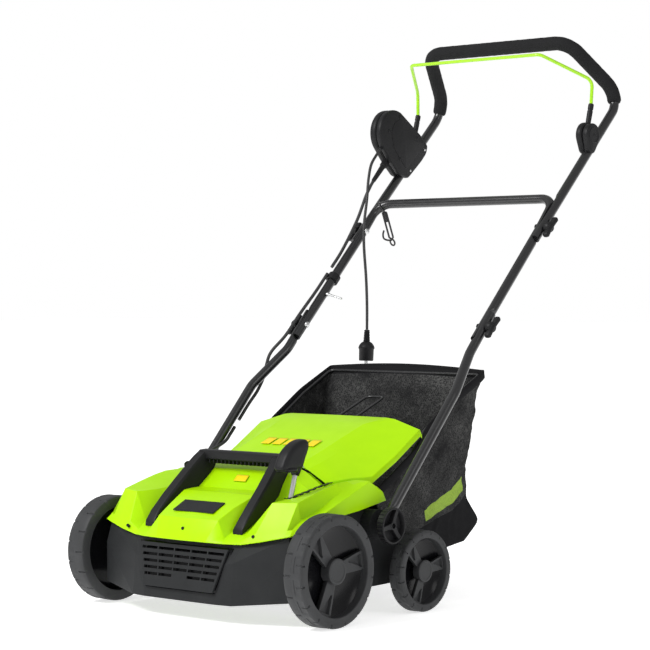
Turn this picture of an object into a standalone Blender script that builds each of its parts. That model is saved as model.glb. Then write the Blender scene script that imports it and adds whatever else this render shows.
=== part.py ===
# Walk-behind electric lawn dethatcher, 36 cm class, at its real size in metres.
# +Z is up, the front of the machine looks along -Y, and +X is the right hand of the front view.
# Every place below is written from the front axle (Y = 0) and the ground (Z = 0). The empty
# machine_frame then moves the whole machine so that its middle stands on the world origin.

import math

import bmesh
import bpy
import numpy as np
from mathutils import Matrix, Vector

# ------------------------------------------------------------------ driving dimensions
GAP = 0.0003                      # air left between pieces that touch
RUNNING = 0.0005                  # air round a turning shaft or axle
MID_Y = 0.4387                    # middle of the machine, from the front axle

FRONT_WHEEL_R = 0.100
FRONT_WHEEL_WIDTH = 0.0423
FRONT_WHEEL_OUTSIDE = 0.2931      # X of the outer face
REAR_WHEEL_R = 0.0751
REAR_WHEEL_WIDTH = 0.030
REAR_WHEEL_OUTSIDE = 0.2843
WHEELBASE = 0.2602
AXLE_R = 0.005
AXLE_INSET = 0.0065               # an axle ends this far inside a wheel's outer face
HUB_CAP_R = 0.0235
WINDOW_MARGIN = 0.009             # material left round a window of a wheel

CRANK_Y = 0.022                   # pivot line of the cranked front axle
CRANK_Z = 0.110
LEVER_X = 0.175                   # plane of the depth lever
LEVER_ROD_R = 0.0045
LEVER_ROUTE = [(0.175, 0.022, 0.110), (0.175, 0.0060, 0.2160), (0.175, 0.0230, 0.2740)]
LEVER_SLOT_FRONT = -0.006
LEVER_SLOT_BACK = 0.118
LEVER_SLOT_WIDTH = 0.013

WALL = 0.0025                     # moulded shells
WALL_X = 0.226                    # outer face of the side walls
DECK_BOTTOM = 0.034

REEL_Y = 0.100
REEL_Z = 0.085
REEL_CORE_R = 0.016
REEL_TIP_R = 0.058
REEL_HALF = 0.180                 # half of the working width
REEL_SHAFT_R = 0.006
TINE_ROWS = 4
TINES_IN_ROW = 5
TINE_R = 0.0018

MOTOR_Y = 0.020
MOTOR_Z = 0.160
MOTOR_R = 0.037
MOTOR_LEFT = -0.085
MOTOR_RIGHT = 0.062
MOTOR_SHAFT_R = 0.004
BELT_X = -0.199
BELT_WIDTH = 0.008
BELT_THICK = 0.0025
MOTOR_PULLEY_R = 0.012
REEL_PULLEY_R = 0.030
BEARING_R = 0.014
BEARING_WIDTH = 0.008

TUBE_R = 0.0095
TUBE_WALL = 0.0012
LEG_X = 0.2336                    # upper and lower tubes, centre line
INNER_LEG_X = 0.2300              # legs of the middle tube, almost in line with them
LAP_X = 0.2318                    # plane where two flattened tube ends lie on each other
PIVOT_X = 0.2595                  # lower tubes where they meet the side knobs
PIVOT_Y = 0.165
PIVOT_Z = 0.166
LOW_JOINT = (0.5046, 0.5195)      # Y, Z of the lower wing bolts
HIGH_JOINT = (0.6992, 0.7167)     # Y, Z of the upper wing bolts
TUBE_LAP = 0.034                  # how far a tube runs past its wing bolt
CROSS_BAR = (0.7510, 0.7760)      # Y, Z of the middle tube's cross bar
BOLT_R = 0.003
BOLT_HEAD_R = 0.0068
BOLT_HEAD = 0.0035
HOOK_WIRE_R = 0.0018
HOOK_EYE = (-0.2179, 0.7457, 0.7699)      # centre of the tube's bend where the hook hangs
HOOK_AXIS = (0.7660, 0.4230, 0.4840)      # the tube's direction there
STUD_SEAT = 0.0016                # a sloping stud's foot stands this far off its round tube
STUD_R = 0.004
SIDE_KNOB_R = 0.033
SIDE_KNOB_DEEP = 0.016
BOSS_R = 0.0275
FOAM_R = 0.0145
HANDLE_TOP = (0.8655, 1.1045)     # Y, Z of the grip's top bar
HANDLE_TOP_HALF = 0.1818          # half the length of the top bar, corner to corner
HANDLE_KNEE = (0.987, 0.9945)      # Y, Z of the corner behind the grip's ends
BAIL_R = 0.0035
BAIL_HUB = (0.866, 0.910)         # Y, Z of the bail's pivot
BAIL_X = 0.2270
BAIL_HUB_R = 0.012
SOCKET_R = 0.0058

BAG_HALF = 0.199
BAG_THICK = 0.0025
FLAP_HINGE = (0.1145, 0.2665)     # Y, Z of the flap's hinge line
HINGE_ROD_R = 0.0020

MAINS_R = 0.0030
MOTOR_CABLE_R = 0.0034

# ------------------------------------------------------------------ scene
for leftover in list(bpy.data.objects):
    bpy.data.objects.remove(leftover)
scene = bpy.context.scene
parts = bpy.data.collections.new("lawn_dethatcher")
cutters = bpy.data.collections.new("cutters")
scene.collection.children.link(parts)
scene.collection.children.link(cutters)
machine_frame = bpy.data.objects.new("machine_frame", None)
machine_frame.location = (0.0, -MID_Y, 0.0)
parts.objects.link(machine_frame)


def finish(name, colour, roughness, metallic=0.0):
    """A plain Principled material."""
    made = bpy.data.materials.new(name)
    made.use_nodes = True
    shader = made.node_tree.nodes["Principled BSDF"]
    shader.inputs["Base Color"].default_value = (*colour, 1.0)
    shader.inputs["Roughness"].default_value = roughness
    shader.inputs["Metallic"].default_value = metallic
    made.diffuse_color = (*colour, 1.0)
    return made


LIME = finish("lime_plastic", (0.62, 0.84, 0.01), 0.35)
DARK = finish("dark_plastic", (0.06, 0.06, 0.065), 0.5)
BLACK = finish("black_plastic", (0.03, 0.03, 0.032), 0.45)
TYRE = finish("wheel_plastic", (0.045, 0.045, 0.047), 0.6)
PAINT = finish("black_paint", (0.02, 0.02, 0.02), 0.35)
FOAM = finish("foam", (0.03, 0.03, 0.03), 0.9)
STEEL = finish("steel", (0.7, 0.7, 0.7), 0.3, 1.0)
LIME_PAINT = finish("lime_paint", (0.45, 0.85, 0.02), 0.3)
MESH_CLOTH = finish("bag_mesh", (0.05, 0.05, 0.05), 0.9)
CABLE = finish("cable_rubber", (0.02, 0.02, 0.02), 0.55)


# ------------------------------------------------------------------ shape helpers
def place(name, mesh, material, pivot=(0.0, 0.0, 0.0), helper=False):
    """An object from a mesh in machine coordinates, with its origin on pivot."""
    mesh.transform(Matrix.Translation(-Vector(pivot)))
    obj = bpy.data.objects.new(name, mesh)
    obj.location = pivot
    obj.parent = machine_frame
    if helper:
        obj.hide_render = True
        obj.display_type = "WIRE"
        cutters.objects.link(obj)
    else:
        mesh.materials.append(material)
        parts.objects.link(obj)
    return obj


def mesh_from(name, bm):
    """Welds a bmesh, turns its faces outwards and hands it over as a mesh."""
    bmesh.ops.remove_doubles(bm, verts=bm.verts, dist=1e-6)
    bmesh.ops.recalc_face_normals(bm, faces=bm.faces)
    mesh = bpy.data.meshes.new(name)
    bm.to_mesh(mesh)
    bm.free()
    return mesh


def curve_mesh(name, curve, matrix=None):
    """The mesh of a curve, with its caps welded on."""
    guide = bpy.data.objects.new(name + "_guide", curve)
    scene.collection.objects.link(guide)
    graph = bpy.context.evaluated_depsgraph_get()
    mesh = bpy.data.meshes.new_from_object(guide.evaluated_get(graph))
    bpy.data.objects.remove(guide)
    if matrix:
        mesh.transform(matrix)
    bm = bmesh.new()
    bm.from_mesh(mesh)
    bpy.data.meshes.remove(mesh)
    return mesh_from(name, bm)


def poly_curve(name, points, radius, resolution, caps=True):
    """A curve through points with a round section."""
    curve = bpy.data.curves.new(name, "CURVE")
    curve.dimensions = "3D"
    curve.bevel_depth = radius
    curve.bevel_resolution = resolution
    curve.use_fill_caps = caps
    spline = curve.splines.new("POLY")
    spline.points.add(len(points) - 1)
    for spot, point in zip(spline.points, points):
        spot.co = (*point, 1.0)
    return curve


def rod(name, points, radius, material, pivot=(0.0, 0.0, 0.0), resolution=3, helper=False):
    """A solid round bar along points."""
    mesh = curve_mesh(name, poly_curve(name, points, radius, resolution))
    mesh.shade_smooth()
    mesh.set_sharp_from_angle(angle=math.radians(40))
    return place(name, mesh, material, pivot, helper)


def pipe(name, points, radius, wall, material, pivot=(0.0, 0.0, 0.0), resolution=2):
    """An open tube along points, with a wall inwards."""
    mesh = curve_mesh(name, poly_curve(name, points, radius, resolution, caps=False))
    mesh.shade_smooth()
    obj = place(name, mesh, material, pivot)
    shell = obj.modifiers.new("wall", "SOLIDIFY")
    shell.thickness = wall
    shell.offset = -1.0
    return obj


def rounded(corners, radius, step_deg=20.0):
    """A route through corners, each one replaced by an arc of the radius (or of its own)."""
    corners = [np.array(corner, float) for corner in corners]
    radii = radius if hasattr(radius, "__len__") else [radius] * (len(corners) - 2)
    route = [corners[0]]
    for before, corner, after, bend in zip(corners, corners[1:], corners[2:], radii):
        arriving = (before - corner) / np.linalg.norm(before - corner)
        leaving = (after - corner) / np.linalg.norm(after - corner)
        turn = math.pi - math.acos(float(np.clip(arriving @ leaving, -1.0, 1.0)))
        if turn < 1e-3:
            continue
        middle = (arriving + leaving) / np.linalg.norm(arriving + leaving)
        centre = corner + middle * bend / math.cos(turn / 2)
        reach = bend * math.tan(turn / 2)
        start = corner + arriving * reach - centre
        side = np.cross(np.cross(start, corner + leaving * reach - centre), start)
        side *= bend / np.linalg.norm(side)
        count = max(2, math.ceil(math.degrees(turn) / step_deg))
        for k in range(count + 1):
            angle = turn * k / count
            route.append(centre + start * math.cos(angle) + side * math.sin(angle))
    route.append(corners[-1])
    return route


def smooth_route(points, spacing):
    """Points at even steps along a Catmull-Rom curve through the route's own points."""
    points = np.array(points, float)
    ends = np.vstack([2 * points[0] - points[1], points, 2 * points[-1] - points[-2]])
    fine = []
    for a, b, c, d in zip(ends, ends[1:], ends[2:], ends[3:]):
        t = np.linspace(0.0, 1.0, 24, endpoint=False)[:, None]
        fine.append(0.5 * (2 * b + (c - a) * t + (2 * a - 5 * b + 4 * c - d) * t**2
                           + (3 * b - a - 3 * c + d) * t**3))
    fine = np.vstack(fine + [points[-1:]])
    run = np.concatenate([[0.0], np.cumsum(np.linalg.norm(np.diff(fine, axis=0), axis=1))])
    count = max(2, round(run[-1] / spacing))
    at = np.linspace(0.0, run[-1], count + 1)
    return np.stack([np.interp(at, run, fine[:, k]) for k in range(3)], axis=1)


def turned(name, profile, y, z, material, steps=32, helper=False):
    """A piece turned about a line along X: the profile holds (radius, X) pairs, highest X first."""
    mesh = bpy.data.meshes.new(name)
    points = [(radius, 0.0, height) for radius, height in profile]
    closed = profile[0][0] > 0.0
    edges = [(k, k + 1) for k in range(len(points) - 1)]
    if closed:
        edges.append((len(points) - 1, 0))
    mesh.from_pydata(points, edges, [])
    obj = bpy.data.objects.new(name, mesh)
    obj.location = (0.0, y, z)
    obj.rotation_euler = (0.0, math.radians(90), 0.0)
    obj.parent = machine_frame
    if helper:
        obj.hide_render = True
        obj.display_type = "WIRE"
        cutters.objects.link(obj)
    else:
        mesh.materials.append(material)
        parts.objects.link(obj)
    screw = obj.modifiers.new("turn", "SCREW")
    screw.steps = steps
    screw.render_steps = steps
    screw.use_merge_vertices = True
    screw.merge_threshold = 1e-6
    screw.use_smooth_shade = True
    return obj


def disc(name, radius, low, high, y, z, material=None, steps=24, helper=False):
    """A plain round bar along X."""
    profile = [(0.0, high), (radius, high), (radius, low), (0.0, low)]
    return turned(name, profile, y, z, material, steps, helper)


def ring(name, outer, inner, low, high, y, z, material=None, steps=20):
    """A round bush along X."""
    profile = [(inner, high), (outer, high), (outer, low), (inner, low)]
    return turned(name, profile, y, z, material, steps)


def plate(name, outline, low, high, material=None, holes=(), pivot=(0.0, 0.0, 0.0), helper=False):
    """A flat outline of (Y, Z) points, filled from X = low to X = high, with holes through it."""
    curve = bpy.data.curves.new(name, "CURVE")
    curve.dimensions = "2D"
    curve.fill_mode = "BOTH"
    curve.extrude = (high - low) / 2
    for loop in (outline, *holes):
        spline = curve.splines.new("POLY")
        spline.points.add(len(loop) - 1)
        spline.use_cyclic_u = True
        for spot, (y, z) in zip(spline.points, loop):
            spot.co = (y, z, 0.0, 1.0)
    stand_up = Matrix(((0, 0, 1, (low + high) / 2), (1, 0, 0, 0), (0, 1, 0, 0), (0, 0, 0, 1)))
    return place(name, curve_mesh(name, curve, stand_up), material, pivot, helper)


def block(name, low, high, material=None, pivot=(0.0, 0.0, 0.0), helper=False):
    """A box between two corners."""
    bm = bmesh.new()
    bmesh.ops.create_cube(bm, size=1.0)
    low, high = Vector(low), Vector(high)
    bmesh.ops.scale(bm, vec=high - low, verts=bm.verts)
    bmesh.ops.translate(bm, vec=(low + high) / 2, verts=bm.verts)
    return place(name, mesh_from(name, bm), material, pivot, helper)


def loft(name, rings, material, pivot=(0.0, 0.0, 0.0), helper=False):
    """A closed solid through rings of the same number of points, with flat ends."""
    rings = [[tuple(point) for point in ring_points] for ring_points in rings]
    around = len(rings[0])
    bm = bmesh.new()
    rows = [[bm.verts.new(point) for point in ring_points] for ring_points in rings]
    for first, second in zip(rows, rows[1:]):
        for k in range(around):
            after = (k + 1) % around
            bm.faces.new((first[k], first[after], second[after], second[k]))
    bm.faces.new(rows[0][::-1])
    bm.faces.new(rows[-1])
    return place(name, mesh_from(name, bm), material, pivot, helper)


def half_skin(name, rows, thickness, material, pivot=(0.0, 0.0, 0.0)):
    """A moulded shell: a surface over rows of (X, Y, Z) points, mirrored at X = 0, with a wall inwards."""
    bm = bmesh.new()
    grid = [[bm.verts.new(point) for point in row] for row in rows]
    for first, second in zip(grid, grid[1:]):
        for k in range(min(len(first), len(second)) - 1):
            corners = (first[k], first[k + 1], second[k + 1], second[k])
            bm.faces.new(corners)
    bmesh.ops.remove_doubles(bm, verts=bm.verts, dist=1e-5)
    mesh = bpy.data.meshes.new(name)
    bm.to_mesh(mesh)
    bm.free()
    obj = place(name, mesh, material, pivot)
    mirror = obj.modifiers.new("other_half", "MIRROR")
    mirror.merge_threshold = 1e-5
    shell = obj.modifiers.new("wall", "SOLIDIFY")
    shell.thickness = thickness
    shell.offset = -1.0
    return obj


def boolean(obj, tool, operation="DIFFERENCE"):
    """Cuts a helper from a piece, or joins it on."""
    change = obj.modifiers.new(tool.name, "BOOLEAN")
    change.operation = operation
    change.solver = "EXACT"
    change.object = tool
    return obj


def arc(centre, radius, start_deg, end_deg, count):
    """Points on an arc in the YZ plane."""
    angles = np.radians(np.linspace(start_deg, end_deg, count))
    return [(centre[0] + radius * math.cos(a), centre[1] + radius * math.sin(a)) for a in angles]


def hull_of_circles(first, first_r, second, second_r, count=9):
    """The outline of two circles and the lines that touch both."""
    apart = math.dist(first, second)
    heading = math.degrees(math.atan2(second[1] - first[1], second[0] - first[0]))
    lean = math.degrees(math.acos((first_r - second_r) / apart))
    outline = arc(first, first_r, heading + lean, heading + 360 - lean, count)
    return outline + arc(second, second_r, heading - lean, heading + lean, count)


def mirrored(points):
    """The same route on the other side of the machine."""
    return [(-x, y, z) for x, y, z in points]


SIDES = (("left", -1.0), ("right", 1.0))


def span(side, near, far):
    """An X interval on one side of the machine, lowest first."""
    return tuple(sorted((side * near, side * far)))


# ------------------------------------------------------------------ wheels
def wheel(name, side, radius, width, outside, y):
    """One moulded wheel: tread ring, three spokes and a blind-bored hub with its cap."""
    ring_in = radius - 0.020 * radius / 0.1
    hub = HUB_CAP_R + 0.005
    inside = outside - width
    bore_end = outside - AXLE_INSET + GAP
    profile = [
        (0.0, outside - 0.0015), (HUB_CAP_R, outside - 0.0015), (HUB_CAP_R, outside - 0.006),
        (hub, outside - 0.006), (hub, outside - 0.010), (ring_in, outside - 0.010),
        (ring_in, outside), (radius - 0.003, outside), (radius, outside - 0.003),
        (radius, inside),
        (ring_in, inside), (ring_in, outside - 0.016), (hub, outside - 0.016),
        (hub - 0.010, inside + 0.006), (AXLE_R + RUNNING, inside + 0.006),
        (AXLE_R + RUNNING, bore_end), (0.0, bore_end),
    ]
    if side < 0:
        profile = [(r, -x) for r, x in reversed(profile)]
    obj = turned(name, profile, y, radius, TYRE, steps=26)
    low = hub + WINDOW_MARGIN
    high = ring_in - 0.002
    for k in range(3):
        middle = 31.0 + 120.0 * k
        window = arc((y, radius), high, middle - 41, middle + 41, 9)
        window += arc((y, radius), low, middle + 20, middle - 20, 4)
        across = span(side, inside + 0.002, outside + 0.002)
        boolean(obj, plate(f"{name}_window_{k}", window, *across, helper=True))
    return obj


def all_wheels():
    for label, side in SIDES:
        wheel(f"wheel_front_{label}", side, FRONT_WHEEL_R, FRONT_WHEEL_WIDTH, FRONT_WHEEL_OUTSIDE, 0.0)
        wheel(f"wheel_rear_{label}", side, REAR_WHEEL_R, REAR_WHEEL_WIDTH, REAR_WHEEL_OUTSIDE, WHEELBASE)


def axles():
    """The cranked front axle, which the depth lever turns, and the straight rear axle."""
    end = FRONT_WHEEL_OUTSIDE - AXLE_INSET
    arm = FRONT_WHEEL_OUTSIDE - FRONT_WHEEL_WIDTH - 0.008
    half = [(end, 0.0, FRONT_WHEEL_R), (arm, 0.0, FRONT_WHEEL_R), (arm, CRANK_Y, CRANK_Z)]
    route = half + mirrored(half[::-1])
    crank = rod("front_axle_crank", rounded(route, 0.0065, 30.0), AXLE_R, STEEL,
                pivot=(0.0, CRANK_Y, CRANK_Z), resolution=4)
    foot, slot, top = LEVER_ROUTE
    lever = rod("lever_rod", rounded([foot, slot, top], 0.03), LEVER_ROD_R, None, resolution=3, helper=True)
    boolean(crank, lever, "UNION")
    rear_end = REAR_WHEEL_OUTSIDE - AXLE_INSET
    disc("rear_axle", AXLE_R, -rear_end, rear_end, WHEELBASE, REAR_WHEEL_R, STEEL, steps=20)


# ------------------------------------------------------------------ deck
def chassis():
    """The dark lower housing: front apron with the grille's opening, cheeks and side walls."""
    z = DECK_BOTTOM
    back = WHEELBASE + 0.060
    top = [(0, -0.0780, 0.1395), (0.060, -0.0775, 0.1395), (0.1125, -0.0760, 0.1400), (0.135, -0.0710, 0.1410),
           (0.2220, -0.0500, 0.1580), (WALL_X, -0.030, 0.1600), (WALL_X, 0.040, 0.1860),
           (WALL_X, 0.140, 0.1960), (WALL_X, 0.225, 0.1500)]
    middle = [(0, -0.0880, 0.1050), (0.060, -0.0880, 0.1050), (0.1060, -0.0880, 0.1060), (0.1220, -0.0860, 0.1090),
              (0.2320, -0.0540, 0.1180), (0.2300, -0.030, 0.1180), (WALL_X, 0.040, 0.1180),
              (WALL_X, 0.140, 0.1180), (WALL_X, 0.262, 0.1180)]
    low = [(0, -0.0990, z), (0.060, -0.0990, z), (0.0880, -0.0985, z), (0.1230, -0.0930, z),
           (0.2340, -0.0520, z + 0.011), (0.2300, -0.030, z + 0.012), (WALL_X, 0.040, z + 0.014),
           (WALL_X, 0.140, z + 0.016), (WALL_X, back, z + 0.020)]
    obj = half_skin("lower_housing", [low, middle, top], WALL, DARK)
    grille_hole = block("grille_hole", (-0.0995, -0.13, 0.0520), (0.0995, -0.03, 0.1330), helper=True)
    taper_grille(grille_hole, 0.0)
    boolean(obj, grille_hole)
    for label, side in SIDES:
        across = span(side, WALL_X - 0.03, WALL_X + 0.03)
        boolean(obj, disc(f"crank_hole_{label}", AXLE_R + RUNNING, *across, CRANK_Y, CRANK_Z, helper=True))
        boolean(obj, disc(f"axle_hole_{label}", AXLE_R + GAP, *across, WHEELBASE, REAR_WHEEL_R, helper=True))
        bearing = disc(f"bearing_hole_{label}", BEARING_R - 0.004, *across, REEL_Y, REEL_Z, helper=True)
        boolean(obj, bearing)


def taper_grille(obj, inset):
    """Narrows a block towards its foot, like the grille."""
    for vertex in obj.data.vertices:
        top = vertex.co.z > 0.1
        half = (0.1110 if top else 0.0870) - inset
        vertex.co.x = math.copysign(half, vertex.co.x)


def grille():
    """The front grille: a tapered panel with rows of slots over a plain foot."""
    lean = math.atan2(0.0970 - 0.0800, 0.1330 - 0.0520)
    obj = block("front_grille", (-0.1, -0.0040, -0.0395), (0.1, 0.0, 0.0395), DARK)
    middle = Vector((0.0, -0.0905, 0.0925))
    for vertex in obj.data.vertices:
        half = (0.1110 if vertex.co.z > 0 else 0.0870) - 0.0010
        vertex.co.x = math.copysign(half, vertex.co.x)
    obj.data.transform(Matrix.Translation(middle) @ Matrix.Rotation(-lean, 4, "X"))
    rows, columns = 5, 5
    for row in range(rows):
        height = 0.0330 - 0.0118 * row
        half = 0.1035 - 0.0036 * row
        pitch = 2 * half / columns
        for column in range(columns):
            if row == rows - 1 and column in (2,):
                continue
            left = -half + pitch * column + 0.0014
            slot = block(f"slot_{row}_{column}", (left, -0.02, height - 0.0052),
                         (left + pitch - 0.0028, 0.02, height), helper=True)
            slot.data.transform(Matrix.Translation(middle) @ Matrix.Rotation(-lean, 4, "X"))
            boolean(obj, slot)
    return obj


def hood():
    """The faceted lime hood: centre pad, two side boxes and two fender arms beside the flap."""
    lip = [(0, -0.0970, 0.1425), (0.060, -0.0945, 0.1425), (0.098, -0.0880, 0.1425), (0.132, -0.0786, 0.1427),
           (0.170, -0.0725, 0.1490), (0.2150, -0.0610, 0.1585), (0.2301, -0.0562, 0.1619),
           (0.2370, -0.0440, 0.1640), (0.2390, -0.0300, 0.1660)]
    fold = [(0, -0.0790, 0.1810), (0.074, -0.0740, 0.1805), (0.092, -0.0765, 0.1500), (0.130, -0.0715, 0.1500),
            (0.158, -0.0665, 0.1625), (0.2160, -0.0500, 0.1700), (0.2265, -0.0465, 0.1715),
            (0.2350, -0.0360, 0.1725), (0.2395, -0.0260, 0.1735)]
    brow = [(0, -0.0400, 0.2010), (0.079, -0.0380, 0.2005), (0.093, -0.0450, 0.1650), (0.137, -0.0450, 0.1650),
            (0.1697, -0.0363, 0.2155), (0.2175, -0.0211, 0.2173), (0.2215, -0.0180, 0.1860),
            (0.2360, -0.0150, 0.1830), (0.2400, -0.0120, 0.1770)]
    pad = [(0, 0.0069, 0.2210), (0.0891, 0.0069, 0.2205), (0.104, 0.0060, 0.1890), (0.137, 0.0060, 0.1890),
           (0.1620, 0.0080, 0.2170), (0.2175, 0.0200, 0.2290), (0.2220, 0.0220, 0.1980),
           (0.2390, 0.0250, 0.1960), (0.2410, 0.0250, 0.1800)]
    recess = [(0, 0.0450, 0.2240), (0.094, 0.0450, 0.2240), (0.110, 0.0450, 0.2080), (0.137, 0.0450, 0.2060),
              (0.1580, 0.0450, 0.2210), (0.2175, 0.0560, 0.2385), (0.2235, 0.0600, 0.2160),
              (0.2400, 0.0620, 0.2110), (0.2410, 0.0620, 0.1870)]
    wall = [(0, 0.0800, 0.2590), (0.095, 0.0800, 0.2570), (0.118, 0.0800, 0.2480), (0.142, 0.0800, 0.2360),
            (0.1600, 0.0800, 0.2270), (0.2165, 0.0850, 0.2445), (0.2260, 0.0880, 0.2300),
            (0.2400, 0.0900, 0.2220), (0.2410, 0.0900, 0.1905)]
    edge = FLAP_HINGE[0] - 0.0050
    rear = [(0, edge, 0.2690), (0.095, edge, 0.2670), (0.120, edge, 0.2600), (0.145, edge, 0.2450),
            (0.1640, edge, 0.2320), (0.2130, 0.1150, 0.2460), (0.2275, 0.1180, 0.2410),
            (0.2400, 0.1200, 0.2340), (0.2410, 0.1200, 0.1940)]
    arm = [(0.1770, 0.1480, 0.2360), (0.2085, 0.1500, 0.2460), (0.2285, 0.1500, 0.2460),
           (0.2400, 0.1500, 0.2450), (0.2410, 0.1500, 0.1990)]
    tail = [(0.1890, 0.1840, 0.2310), (0.2060, 0.1860, 0.2360), (0.2285, 0.1860, 0.2320),
            (0.2400, 0.1880, 0.2230), (0.2410, 0.1960, 0.2070)]
    bm = bmesh.new()
    grid = [[bm.verts.new(point) for point in row] for row in (lip, fold, brow, pad, recess, wall, rear)]
    arms = [grid[-1][4:]] + [[bm.verts.new(point) for point in row] for row in (arm, tail)]
    for rows in (grid, arms):
        for first, second in zip(rows, rows[1:]):
            for k in range(len(first) - 1):
                bm.faces.new((first[k], first[k + 1], second[k + 1], second[k]))
    mesh = bpy.data.meshes.new("hood")
    bm.to_mesh(mesh)
    bm.free()
    obj = place("hood", mesh, LIME)
    obj.modifiers.new("other_half", "MIRROR").merge_threshold = 1e-5
    shell = obj.modifiers.new("wall", "SOLIDIFY")
    shell.thickness = WALL
    shell.offset = -1.0
    half = LEVER_SLOT_WIDTH / 2
    boolean(obj, block("lever_slot", (LEVER_X - half, LEVER_SLOT_FRONT, 0.19),
                       (LEVER_X + half, LEVER_SLOT_BACK, 0.27), helper=True))
    return obj


def pad_point(y):
    """Height of the hood's centre pad at y."""
    return float(np.interp(y, [-0.0790, -0.0400, 0.0069], [0.1810, 0.2010, 0.2210]))


def name_panel():
    """The dark plate on the sloping centre pad."""
    front, back, half = -0.0620, -0.0300, 0.050
    thick = 0.0016
    rings = []
    for y in (front, back):
        z = pad_point(y) + GAP + 0.0004
        rings.append([(-half, y, z), (half, y, z), (half, y, z + thick), (-half, y, z + thick)])
    return loft("name_panel", rings, DARK)


def carry_handle():
    """The lifting handle: two flat legs that rise from the hood's valleys to a cross bar."""
    half = [(0.108, -0.0600, 0.1656), (0.114, -0.0500, 0.1850), (0.106, 0.0040, 0.2360), (0.090, 0.0640, 0.2800)]
    thick, wide = 0.013, 0.022
    rings = []
    for k, (x, y, z) in enumerate(half):
        lean = (0.9, 0.76, 0.66, 0.35)[k]
        up = Vector((0.0, -math.sin(lean), math.cos(lean)))
        side = Vector((1.0, 0.0, 0.0))
        spot = Vector((x, y, z))
        rings.append([spot - side * wide / 2 - up * thick / 2, spot + side * wide / 2 - up * thick / 2,
                      spot + side * wide / 2 + up * thick / 2, spot - side * wide / 2 + up * thick / 2])
    obj = loft("carry_handle", rings, BLACK)
    other = loft("carry_leg_left", [[(-p.x, p.y, p.z) for p in ring_points] for ring_points in rings],
                 BLACK, helper=True)
    bar = block("carry_bar", (-0.098, 0.0600, 0.2740), (0.098, 0.0830, 0.2920), helper=True)
    boolean(obj, other, "UNION")
    boolean(obj, bar, "UNION")
    return obj


def reel_guard():
    """The curved guard over the reel, which throws the thatch back into the bag."""
    radius = REEL_TIP_R + 0.006
    outline = arc((REEL_Y, REEL_Z), radius, 200, 60, 12)
    outline.append((REEL_Y + 0.115, REEL_Z + 0.082))
    bm = bmesh.new()
    width = WALL_X - WALL - 0.014
    rows = [[bm.verts.new((x, y, z)) for y, z in outline] for x in (-width, width)]
    for k in range(len(outline) - 1):
        bm.faces.new((rows[0][k], rows[0][k + 1], rows[1][k + 1], rows[1][k]))
    obj = place("reel_guard", mesh_from("reel_guard", bm), DARK)
    shell = obj.modifiers.new("wall", "SOLIDIFY")
    shell.thickness = 0.0018
    shell.offset = 0.0
    reach = span(-1.0, abs(BELT_X) - BELT_WIDTH - 0.004, WALL_X)
    notch = block("belt_notch", (reach[0], REEL_Y - 0.09, REEL_Z - 0.06),
                  (reach[1], REEL_Y + 0.16, REEL_Z + 0.12), helper=True)
    boolean(obj, notch)
    return obj


# ------------------------------------------------------------------ drive
def reel():
    """The spring-tine reel on its shaft."""
    end = WALL_X - WALL - 0.0015
    profile = [(0.0, end), (REEL_SHAFT_R, end), (REEL_SHAFT_R, REEL_HALF), (REEL_CORE_R, REEL_HALF),
               (REEL_CORE_R, -REEL_HALF), (REEL_SHAFT_R, -REEL_HALF), (REEL_SHAFT_R, -end), (0.0, -end)]
    obj = turned("tine_reel", profile, REEL_Y, REEL_Z, STEEL, steps=24)
    bm = bmesh.new()
    near, far = REEL_CORE_R - 0.003, REEL_TIP_R
    for row in range(TINE_ROWS):
        angle = 2 * math.pi * (row + 0.5) / TINE_ROWS + math.radians(6)
        for k in range(TINES_IN_ROW):
            step = (k + (row % 2) * 0.5) / (TINES_IN_ROW - 0.5)
            x = (REEL_HALF - 0.012) * (2 * step - 1)
            stand = Matrix.Rotation(angle, 4, "X") @ Matrix.Rotation(math.radians(-90), 4, "X")
            lift = Matrix.Translation((0.0, 0.0, (near + far) / 2))
            spot = Matrix.Translation((x, REEL_Y, REEL_Z)) @ stand @ lift
            bmesh.ops.create_cone(bm, cap_ends=True, segments=5, radius1=TINE_R, radius2=TINE_R,
                                  depth=far - near, matrix=spot)
    mesh = bpy.data.meshes.new("tines")
    bm.to_mesh(mesh)
    bm.free()
    boolean(obj, place("tines", mesh, None, helper=True), "UNION")
    return obj


def reel_bearings():
    """A bearing on the reel's shaft beside each side wall."""
    for label, side in SIDES:
        near = WALL_X - WALL - 0.0030 - BEARING_WIDTH
        across = span(side, near, near + BEARING_WIDTH)
        ring(f"reel_bearing_{label}", BEARING_R, REEL_SHAFT_R + GAP, *across, REEL_Y, REEL_Z, STEEL)


def motor():
    """The motor and its shaft, lying across the front of the deck."""
    profile = [(0.0, MOTOR_RIGHT), (MOTOR_R * 0.72, MOTOR_RIGHT), (MOTOR_R, MOTOR_RIGHT - 0.010),
               (MOTOR_R, MOTOR_LEFT + 0.010), (MOTOR_R * 0.72, MOTOR_LEFT), (0.012, MOTOR_LEFT), (0.0, MOTOR_LEFT)]
    turned("motor", profile, MOTOR_Y, MOTOR_Z, BLACK, steps=28)
    low, high = BELT_X - BELT_WIDTH / 2, BELT_X + BELT_WIDTH / 2
    shaft = [(0.0, MOTOR_LEFT - GAP), (MOTOR_SHAFT_R, MOTOR_LEFT - GAP), (MOTOR_SHAFT_R, high),
             (MOTOR_PULLEY_R, high), (MOTOR_PULLEY_R, low), (0.0, low)]
    turned("motor_shaft", shaft, MOTOR_Y, MOTOR_Z, STEEL, steps=24)


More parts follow.
